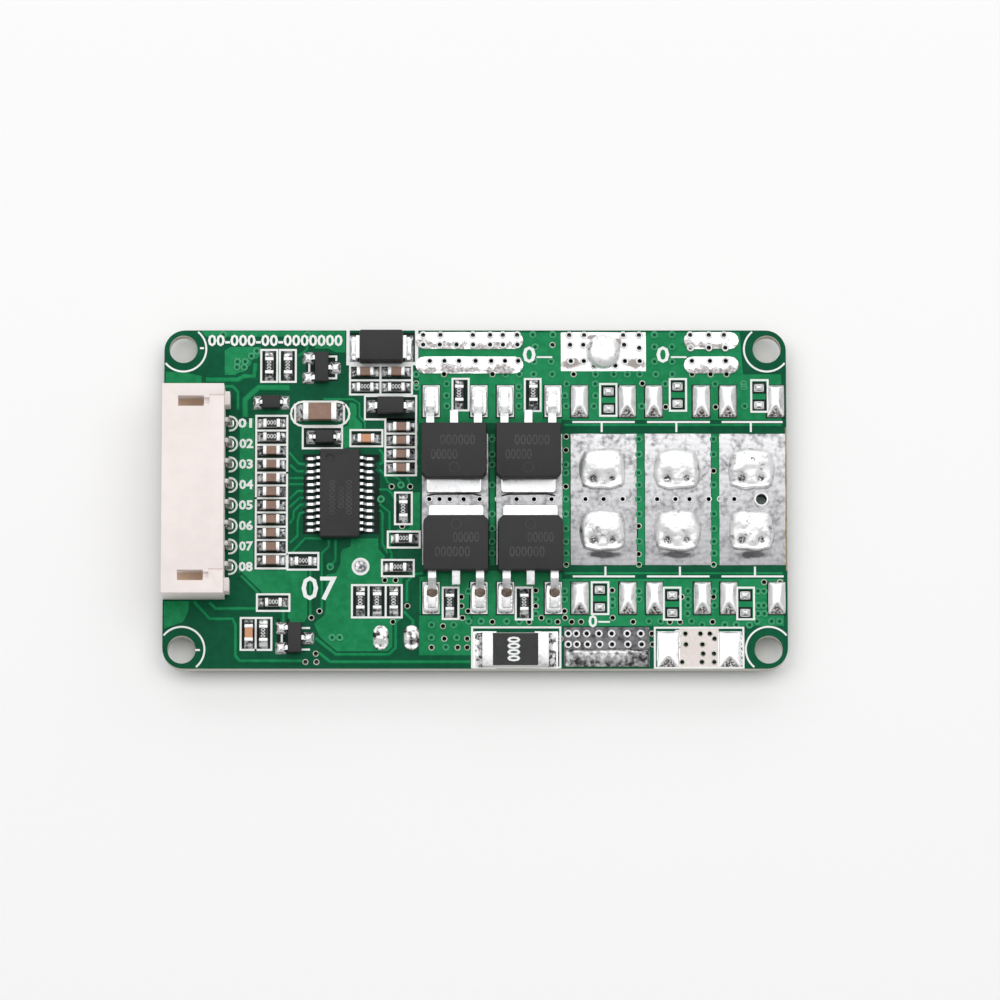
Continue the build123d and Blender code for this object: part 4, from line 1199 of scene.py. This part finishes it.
def make_chip_solder():
    """Lands and hollow-backed fillets at both ends of every chip part."""
    lands = bmesh.new()
    fillets = bmesh.new()
    for name, reach, half_width, height in CHIP_SOLDER:
        for low, high in solids(name):
            centre = (low + high) / 2
            along_x = high.x - low.x > high.y - low.y
            end = ((high.x - low.x) if along_x else (high.y - low.y)) / 2 + 0.03 * MM
            length = reach * MM - end
            for side in (0, 1):
                turn = (0 if along_x else math.pi / 2) + side * math.pi
                away = (end + reach * MM) / 2
                middle = (centre.x + away * math.cos(turn), centre.y + away * math.sin(turn),
                          BOARD_TOP + 0.01 * MM)
                add_bar(lands, middle, turn, (length + 0.5 * MM, 2 * half_width * MM, 0.06 * MM))
                add_wedge(fillets, centre.x, centre.y, turn, end - 0.02 * MM, length - 0.06 * MM,
                          (half_width - 0.05) * MM, BOARD_TOP + 0.03 * MM, height * MM)
    finish_piece("chip_lands", lands, "dark_joint", "tinned_copper")
    soften(finish_piece("chip_fillets", fillets, "chip_joint", "solder"), 0.05)


def soften(piece, width, segments=2, angle=40):
    """Rounds a piece's sharp edges, by a width in millimetres, and shades it smoothly."""
    bevel = piece.modifiers.new("rounded_edges", "BEVEL")
    bevel.width = width * MM
    bevel.segments = segments
    bevel.limit_method = "ANGLE"
    bevel.angle_limit = math.radians(angle)
    bevel.harden_normals = False
    bpy.context.view_layer.update()
    evaluated = piece.evaluated_get(bpy.context.evaluated_depsgraph_get())
    rounded = bpy.data.meshes.new_from_object(evaluated)
    sharp = piece.data
    piece.modifiers.clear()
    piece.data = rounded
    bpy.data.meshes.remove(sharp)
    rounded.shade_smooth()
    rounded.set_sharp_from_angle(angle=math.radians(angle))


# Leads, and how far the land reaches beyond and beside each, in millimetres
LEAD_LANDS = (
    ("monitor_chip_leads", 0.18, 0.0), ("rectifier_diode_leads", 0.42, 0.5), ("small_diode_leads", 0.45, 0.8),
    ("small_transistor_1_leads", 0.6, 0.62), ("small_transistor_2_leads", 0.6, 0.62),
    ("surge_diode_leads", 0.3, 0.3))


def star_outline(u, v):
    """Pulls the sides of a square in, as solder does between the corners of its land."""
    return u * (1 - 0.2 * (1 - v * v)), v * (1 - 0.2 * (1 - u * u))


def add_star(shape, centre, half, low, rise, seed):
    """Solder on a small land, drawn to the corners, with a lead or nothing in its middle."""
    wave = waves(seed)

    def height_at(u, v):
        return rise * min(1 - abs(u) ** 1.8, 1 - abs(v) ** 1.8) ** 0.8 * (1 + 0.2 * wave(u, v, 2.5))

    add_heap(shape, centre, half, low, height_at, star_outline, (10, 10))


def make_lead_solder():
    """A land and a low heap of solder at the foot of each small lead."""
    lands = bmesh.new()
    heaps = bmesh.new()
    for name, beyond, beside in LEAD_LANDS:
        leads = solids(name)
        for index, (low, high) in enumerate(leads):
            own = [box for box in leads if abs(box[0].y + box[1].y - low.y - high.y) < 2.4 * MM]
            middle_x = sum(box[0].x + box[1].x for box in own) / (2 * len(own))
            outward = 1 if (low.x + high.x) / 2 > middle_x else -1
            tip = high.x if outward > 0 else low.x
            x0, x1 = sorted((tip - outward * (high.x - low.x) * 0.55, tip + outward * beyond * MM))
            y0 = low.y - beside * MM * 0.6
            y1 = high.y + beside * MM * 0.6
            add_block(lands, (x0, y0, BOARD_TOP - 0.02 * MM), (x1, y1, BOARD_TOP + 0.04 * MM))
            centre = ((x0 + x1) / 2, (y0 + y1) / 2)
            half = ((x1 - x0) / 2, (y1 - y0) / 2)
            if beside:
                add_star(heaps, centre, half, BOARD_TOP + 0.04 * MM, 0.3 * MM, index)
            else:
                add_pillow(heaps, *centre, half[0], half[1] + 0.02 * MM, BOARD_TOP + 0.03 * MM, 0.12 * MM,
                           cells=4, rough=0.2, seed=index)
    finish_piece("lead_lands", lands, "dark_joint", "tinned_copper")
    finish_piece("lead_solder", heaps, "solder", "solder", smooth=True)


# Dull marks and painted shade: each is a function that gives a share for a vertex's place

def lower_triangle(centre, half):
    """A dull triangle that widens to the lower end of a land, as old flux leaves."""
    def mark(place):
        across = abs(place.x - centre.x) / half.x
        along = (place.y - centre.y) / half.y
        if across > 1.05 or abs(along) > 1.05:
            return 0.0
        return max(0.0, min(1.0, (-0.3 - along - across * 0.66) * 6.0))
    return mark


def lower_band(centre, half):
    """A dull band across the lower end of a land."""
    def mark(place):
        across = abs(place.x - centre.x) / half.x
        along = (place.y - centre.y) / half.y
        return max(0.0, min(1.0, (-0.78 - along) * 7.0)) if across < 1.05 and along > -1.1 else 0.0
    return mark


def lead_flank_shade(low, high):
    """Two stripes of painted shade in the solder, along both sides of a lead."""
    middle = (low.x + high.x) / 2
    reach = (high.x - low.x) / 2 + 0.08 * MM

    def mark(place):
        away = abs(abs(place.x - middle) - reach)
        return max(0.0, 0.8 - away / (0.2 * MM)) if low.y < place.y < high.y else 0.0
    return mark


def round_spot(x, y, radius):
    """A soft round dark spot."""
    def mark(place):
        reach = math.hypot(place.x - x, place.y - y) / radius
        return max(0.0, min(1.0, (1.15 - reach) * 3.0))
    return mark


def make_land_tin():
    """Tin on every transistor land and on the small empty lands."""
    tin = bmesh.new()
    marks = []
    leads = [box for number in POWER_TRANSISTORS for box in solids(f"power_transistor_{number}_leads")]
    for index, (low, high) in enumerate(solids("source_gate_lands")):
        centre = (low + high) / 2
        half = (high - low) / 2
        fitted = [box for box in leads if low.x < box[0].x < high.x and box[0].y * centre.y > 0]
        if fitted:
            add_pillow(tin, centre.x, centre.y, half.x * 0.98, half.y * 0.98, BOARD_TOP + 0.05 * MM, 0.2 * MM,
                       cells=20, power=3.6, rough=0.12, seed=index)
            # Painted shade along both sides of the lead.
            marks.append(lead_flank_shade(*fitted[0]))
            if centre.y < 0:
                marks.append(lower_band(centre, half))
        else:
            add_roof(tin, centre, (half.x, half.y * 0.99), BOARD_TOP + 0.05 * MM, 0.36 * MM, 0.78, index)
            marks.append(lower_triangle(centre, half))
    stain_and_shade(finish_piece("transistor_land_tin", tin, "stained_and_shaded_solder", "solder", smooth=True), marks)

    small = bmesh.new()
    test = bmesh.new()
    marks = []
    for seed, (low, high) in enumerate(solids("empty_chip_lands"), 60):
        centre = (low + high) / 2
        half = (high - low) / 2
        if half.x > 0.55 * MM:
            add_pillow(test, centre.x, centre.y, half.x * 0.9, half.y * 0.9, BOARD_TOP + 0.04 * MM, 0.09 * MM,
                       cells=14, power=3.0, rough=0.5, seed=seed, disc=True)
        else:
            add_star(small, centre, half, BOARD_TOP + 0.05 * MM, 0.24 * MM, seed)
            marks.append(lower_triangle(centre, half))
    finish_piece("test_land_tin", test, "ridge_solder", "tinned_copper", smooth=True)
    stain_and_shade(finish_piece("small_land_tin", small, "stained_and_shaded_solder", "solder", smooth=True), marks)


def hole_loops(boxes, margin=0.0):
    """Outlines of the drilled holes that fall well inside any of the given boxes, in metres."""
    loops = []
    for x, y, radius in drilled:
        place = on_board(x, y)
        for box in boxes:
            if holds(box, *place, radius * MM + margin):
                loops.append(circle(*place, radius * MM, 28 if radius > WIDE_HOLE else VIA_SIDES))
    return loops


def wavy_outline(low, high, step, seed):
    """A rectangle's outline with places along its sides, each moved a little, as molten tin sets."""
    points = []
    for (ax, ay), (bx, by) in sides_of(rectangle(low.x, low.y, high.x, high.y)):
        count = max(1, round(math.hypot(bx - ax, by - ay) / step))
        points += [(ax + (bx - ax) * k / count, ay + (by - ay) * k / count) for k in range(count)]
    random.seed(seed)
    drift = 0.02 * MM
    return [(x + random.uniform(-drift, drift), y + random.uniform(-drift, drift)) for x, y in points]


def wide_lands():
    """The power lands that take wires, and those of the shunts, as two lists."""
    powers = solids("power_lands")
    wide = [box for box in powers if box[1].x - box[0].x > 5 * MM]
    return wide, [box for box in powers if box not in wide]


def make_lands():
    """The large tinned lands and current strips, drilled through with their vias."""
    wide, narrow = wide_lands()
    for name, boxes, step, margin, material, replaced in (
            ("drain_land_tin", solids("drain_lands"), 1.5, 0.0, "drain_tin", "drain_lands"),
            ("shunt_land_tin", narrow, 1.2, 0.06, "bright_tin", "power_lands"),
            ("wire_land_tin", [box for box in wide if box[0].y > 0], 1.2, 0.06, "wire_tin", "power_lands"),
            ("pack_land_tin", [box for box in wide if box[0].y < 0], 1.2, 0.06, "dull_tin", "power_lands")):
        loops = [wavy_outline(*box, step * MM, index) for index, box in enumerate(boxes)]
        sheet_from_loops(name, loops + hole_loops(boxes, margin * MM), BOARD_TOP, LAND_TOP, material,
                         "tinned_copper", replaced=(replaced,))

    strips = solids("solder_strips")
    loops = [strip_outline(*box, index) for index, box in enumerate(strips)]
    tin = sheet_from_loops("strip_tin", loops + hole_loops(strips, 0.03 * MM), BOARD_TOP, STRIP_TOP,
                           "strip_solder", "solder", replaced=("solder_strips",))
    soften(tin, 0.09, 3)


def strip_outline(low, high, seed):
    """A strip with round ends and a wavy edge, bitten where a hole crosses its lower side."""
    radius = (high.y - low.y) / 2
    middle = (low.y + high.y) / 2
    left = low.x + radius
    right = high.x - radius
    step = 0.7 * MM
    room = 0.12 * MM
    sway = 0.04 * MM
    wave = waves(seed)
    bites = []
    for x, y, hole in drilled:
        place_x, place_y = on_board(x, y)
        reach = (hole + 0.03) * MM
        if left < place_x < right and abs(place_y - low.y) < reach:
            bites.append((place_x, place_y, reach))
    points = arc(left, middle, radius, 90, 270, 6)
    x = left + step
    for bite_x, bite_y, reach in sorted(bites):
        half = math.sqrt(reach ** 2 - (low.y - bite_y) ** 2)
        while x < bite_x - half - room:
            points.append((x, low.y + sway * wave(x / MM, 0.0, 0.9)))
            x += step
        begin = math.degrees(math.atan2(low.y - bite_y, -half)) % 360
        end = math.degrees(math.atan2(low.y - bite_y, half))
        points += arc(bite_x, bite_y, reach, begin, end, 6)
        x = bite_x + half + room
    while x < right:
        points.append((x, low.y + sway * wave(x / MM, 0.0, 0.9)))
        x += step
    points += arc(right, middle, radius, -90, 90, 6)
    x = right - step
    while x > left:
        points.append((x, high.y + sway * wave(x / MM, 5.0, 0.9)))
        x -= step
    return points


def mound_height(rise, seed):
    """Height of an old solder heap: a terraced dome, two pits near its lower edge, and a lip below them."""
    wave = waves(seed)

    def height_at(u, v):
        crown = max(0.0, (1 - abs(u) ** 3.2) * (1 - abs(v) ** 3.2)) ** 0.62
        slope = 0.86 + 0.14 * v
        terrace = 0.05 * math.tanh((v + 0.05 + 0.3 * wave(u, 0.0, 1.3)) * 7)
        pits = 0.0
        for place, depth in ((-0.42, 0.5), (0.42, 0.36)):
            away = ((u - place) / 0.2) ** 2 + ((v + 0.52) / 0.24) ** 2
            pits += depth * math.exp(-away) * (1 + 0.5 * wave(u, v, 14.0))
        lip = 0.16 * math.exp(-((v + 0.9 - 0.1 * u * u) / 0.07) ** 2) * max(0.0, 1 - u ** 6)
        ripple = 0.1 * wave(u, v) + 0.05 * wave(u, v, 4.0) + 0.03 * wave(u, v, 11.0)
        return rise * (crown * (slope + terrace + ripple - pits) + lip)
    return height_at


def mound_outline(seed):
    """The uneven plan of a heap that pulls in towards its upper side."""
    wave = waves(seed)

    def outline_at(u, v):
        drift = 0.08 * wave(u, v, 1.7)
        round_in = 1.01 - 0.16 * (u * v) ** 2 - 0.05 * max(0.0, v)
        return u * (round_in + drift), v * (round_in - drift)
    return outline_at


def make_mounds():
    """Old solder heaps on the three empty drain lands, and one on the upper power land."""
    mounds = bmesh.new()
    spot_on_last_heap = round_spot(26.7 * MM, 3.75 * MM, 0.24 * MM)
    marks = [spot_on_last_heap]
    for seed, (low, high) in enumerate(solids("solder_mounds"), 20):
        centre = (low + high) / 2
        half = ((high.x - low.x) / 2 * 1.03, (high.y - low.y) / 2 * 1.02)
        rise = (high.z - LAND_TOP) * 0.85
        if centre.y < 10 * MM:
            add_heap(mounds, centre, half, LAND_TOP, mound_height(rise, seed), mound_outline(seed), (40, 40))
            # Painted shade in the heap's two pits.
            for side, radius in ((-1, 0.36), (1, 0.3)):
                marks.append(round_spot(centre.x + side * half[0] * 0.42, low.y + half[1] * 0.5, radius * MM))
        else:
            add_pillow(mounds, centre.x, centre.y, *half, LAND_TOP, rise, cells=30, power=4.0, rough=0.1,
                       seed=seed, disc=True)
    stain_and_shade(finish_piece("solder_heaps", mounds, "old_and_shaded_solder", "solder", smooth=True,
                       replaced=("solder_mounds",)), marks)


def make_joints():
    """The two oval solder joints at the lower edge."""
    joints = bmesh.new()
    for seed, (low, high) in enumerate(solids("wire_joints"), 40):
        wave = waves(seed)

        def height_at(u, v):
            lobes = 0.72 + 0.28 * math.cos(v * 5.2)
            crown = max(0.0, (1 - abs(u) ** 2.4) * (1 - abs(v) ** 4)) ** 0.6
            return (high.z - BOARD_TOP) * 0.9 * crown * lobes * (1 + 0.3 * wave(u, v, 3.0))

        def outline_at(u, v):
            pull = 1 - 0.3 * abs(v) ** 3 * u * u
            return u * pull, v * pull

        add_heap(joints, (low + high) / 2, (high - low) / 2, BOARD_TOP, height_at, outline_at, (22, 30))
    finish_piece("wire_land_solder", joints, "wire_joint", "solder", smooth=True, replaced=("wire_joints",))


def make_ridge():
    """The ridge of solder along the lower part of the pack land."""
    ridge = bmesh.new()
    wave = waves(77)

    def ridge_height(u, v):
        climb = max(0.0, 1 + v) / 1.7
        fall = max(0.0, 1 - v) / 0.3
        ends = max(0.0, 1 - abs(u) ** 12)
        return 0.42 * MM * min(climb ** 0.8, fall, 1.0) * ends * (1 + 0.25 * wave(u * 9, v, 1.5))

    low, high = next(box for box in wide_lands()[0] if box[0].y < 0)
    top = on_board(0, -14.85)[1]
    half = ((high.x - low.x) / 2 * 0.98, (top - low.y) / 2)
    add_heap(ridge, ((low.x + high.x) / 2, (low.y + top) / 2), half, LAND_TOP, ridge_height, None, (70, 16))
    finish_piece("pack_land_ridge", ridge, "ridge_solder", "solder", smooth=True)


def make_shunt_tin():
    """Tin with a long front slope on both lands of the empty shunt place."""
    tin = bmesh.new()
    marks = []
    shunt_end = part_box("current_shunt_body")[1].x + 2 * MM
    for seed, (low, high) in enumerate([box for box in wide_lands()[1] if box[0].x > shunt_end], 90):
        centre = (low + high) / 2
        half = (high - low) / 2
        add_roof(tin, centre, (half.x * 0.97, half.y * 0.98), LAND_TOP, 0.3 * MM, 0.7, seed, (20, 30), 0.03)
        marks.append(lower_triangle(centre, half))
    stain_and_shade(finish_piece("shunt_place_tin", tin, "stained_and_shaded_solder", "solder", smooth=True), marks)


def make_window_shade_floors():
    """A tan floor of painted shade in the plug hollow, where the two lock windows show it."""
    floors = bmesh.new()
    low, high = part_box("connector_housing")
    floor = low.z + 0.75 * MM
    for y in (high.y - 1.7 * MM, low.y + 1.7 * MM):
        add_block(floors, (low.x + 1.3 * MM, y - 0.75 * MM, floor - 0.02 * MM),
                  (low.x + 4.7 * MM, y + 0.8 * MM, floor + 0.03 * MM))
    finish_piece("window_shade_floors", floors, "shaded_plastic", "connector_plastic")


def make_flux():
    """Brown flux on the leads of the two lower transistors."""
    spots = bmesh.new()
    for number in POWER_TRANSISTORS[2:]:
        for index, (low, high) in enumerate(solids(f"power_transistor_{number}_leads")):
            add_pillow(spots, (low.x + high.x) / 2, low.y + 1.5 * MM, 0.52 * MM, 0.55 * MM,
                       LAND_TOP + 0.42 * MM, 0.34 * MM, cells=12, power=2.2, rough=0.5,
                       seed=number * 3 + index, disc=True)
    finish_piece("lead_flux", spots, "old_flux", "solder", smooth=True)


def make_shadow_lines():
    """The dark, bent line of painted shadow under each upper drain tab."""
    shadow_lines = bmesh.new()
    for number in POWER_TRANSISTORS[:2]:
        low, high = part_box(f"power_transistor_{number}_drain_tab")
        y = low.y - 0.1 * MM
        droop = 0.14 * MM
        corners = ((low.x + 0.1 * MM, y - droop), (low.x + 0.7 * MM, y), (high.x - 0.8 * MM, y + 0.03 * MM),
                   (high.x - 0.1 * MM, y - droop))
        for (ax, ay), (bx, by) in zip(corners, corners[1:]):
            add_bar(shadow_lines, ((ax + bx) / 2, (ay + by) / 2, LAND_TOP + 0.005 * MM),
                    math.atan2(by - ay, bx - ax),
                    (math.hypot(bx - ax, by - ay) + 0.05 * MM, 0.15 * MM, 0.02 * MM))
    finish_piece("tab_shadow_lines", shadow_lines, "painted_tab_shadow", "tinned_copper")


# Copies with rounded edges: the copy's name, its CAD node, the edge width in millimetres, and the finish
ROUNDED = (
    ("connector_shell", "connector_housing", 0.1, "connector_plastic"),
    ("monitor_chip_case", "monitor_chip_body", 0.05, "mould_compound"),
    ("surge_diode_case", "surge_diode_body", 0.08, "mould_compound"),
    ("rectifier_diode_case", "rectifier_diode_body", 0.05, "mould_compound"),
    ("small_diode_cases", "small_diode_bodies", 0.04, "mould_compound"),
    ("small_transistor_1_case", "small_transistor_1_body", 0.04, "mould_compound"),
    ("small_transistor_2_case", "small_transistor_2_body", 0.04, "mould_compound"),
    ("chip_resistor_ends", "chip_resistor_end_caps", 0.035, "end_cap_metal"),
    ("gate_resistor_ends", "gate_resistor_end_caps", 0.035, "end_cap_metal"),
    ("filter_capacitor_ends", "filter_capacitor_end_caps", 0.05, "end_cap_metal"),
    ("service_capacitor_ends", "service_capacitor_end_caps", 0.05, "end_cap_metal"),
    ("supply_capacitor_ends", "supply_capacitor_end_caps", 0.08, "end_cap_metal"),
    ("shunt_ends", "current_shunt_end_caps", 0.06, "end_cap_metal"),
    ("pin_row", "connector_pins", 0.05, "pin_metal"),
    *[(f"power_transistor_{number}_{new}", f"power_transistor_{number}_{old}", width, finish)
      for new, old, width, finish in (
          ("case", "body", 0.07, "mould_compound"), ("tab", "drain_tab", 0.05, "lead_metal"),
          ("legs", "leads", 0.05, "lead_metal"))
      for number in POWER_TRANSISTORS])


def make_rounded():
    """Copies of the CAD solids with the small edge radii that moulding, forming and plating leave."""
    for name, node, width, finish in ROUNDED:
        shape = bmesh.new()
        shape.from_mesh(nodes[node].data)
        bmesh.ops.remove_doubles(shape, verts=shape.verts, dist=0.0001 * MM)
        bmesh.ops.dissolve_limit(shape, angle_limit=math.radians(1), verts=shape.verts, edges=shape.edges)
        soften(finish_piece(name, shape, finish, finish, replaced=(node,)), width, angle=30)


make_board()
make_copper()
make_vias()
make_dark_margins()
make_print()
make_part_marks()
make_body_marks()
make_chip_solder()
make_lead_solder()
make_land_tin()
make_lands()
make_mounds()
make_joints()
make_ridge()
make_shunt_tin()
make_window_shade_floors()
make_flux()
make_shadow_lines()
make_rounded()


# Floor, light and camera

def make_floor():
    """A plain white floor under the pin ends."""
    half_side = 1.5
    near_white = 0.995
    shape = bmesh.new()
    bmesh.ops.create_grid(shape, x_segments=1, y_segments=1, size=half_side)
    bmesh.ops.translate(shape, verts=shape.verts, vec=(0, 0, cad_low.z))
    mesh = bpy.data.meshes.new("floor")
    shape.to_mesh(mesh)
    shape.free()
    floor = add_object("floor", mesh)
    material = bpy.data.materials.new("floor")
    material.use_nodes = True
    shader = material.node_tree.nodes["Principled BSDF"]
    shader.inputs["Base Color"].default_value = (near_white, near_white, near_white, 1)
    shader.inputs["Roughness"].default_value = 0.9
    mesh.materials.append(material)


def add_softbox(name, place, width, length, power):
    """A rectangular light that faces the middle of the board."""
    light = bpy.data.lights.new(name, "AREA")
    light.shape = "RECTANGLE"
    light.size = width
    light.size_y = length
    light.energy = power
    lamp = add_object(name, light)
    lamp.location = place
    lamp.rotation_euler = (-Vector(place)).to_track_quat("-Z", "Y").to_euler()


def make_light():
    """An even white surround, a long light overhead and a second one behind."""
    world = bpy.data.worlds.new("studio")
    bpy.context.scene.world = world
    world.use_nodes = True
    background = world.node_tree.nodes["Background"]
    background.inputs["Color"].default_value = (1, 1, 1, 1)
    background.inputs["Strength"].default_value = 0.5
    add_softbox("overhead_softbox", (0.0, 0.165, 0.615), width=1.3, length=0.46, power=2.6)
    add_softbox("rear_softbox", (0.0, 0.62, 0.3), width=1.2, length=0.35, power=1.3)


def make_camera():
    """The photograph's view: from far off, 80.5 degrees above the board, which is left of the middle."""
    distance = 0.674
    tilt = math.radians(80.5)
    magnification = 6.988
    data = bpy.data.cameras.new("camera")
    data.sensor_width = 36.0
    data.lens = data.sensor_width * magnification
    data.shift_x = 0.0249
    data.clip_start = 0.01
    camera = add_object("camera", data)
    aim = Vector((0, 0.00016, 0))
    camera.location = aim + distance * Vector((0, -math.cos(tilt), math.sin(tilt)))
    camera.rotation_euler = (math.pi / 2 - tilt, 0, 0)
    bpy.context.scene.camera = camera


make_floor()
make_light()
make_camera()
bpy.context.scene.view_settings.view_transform = "Standard"
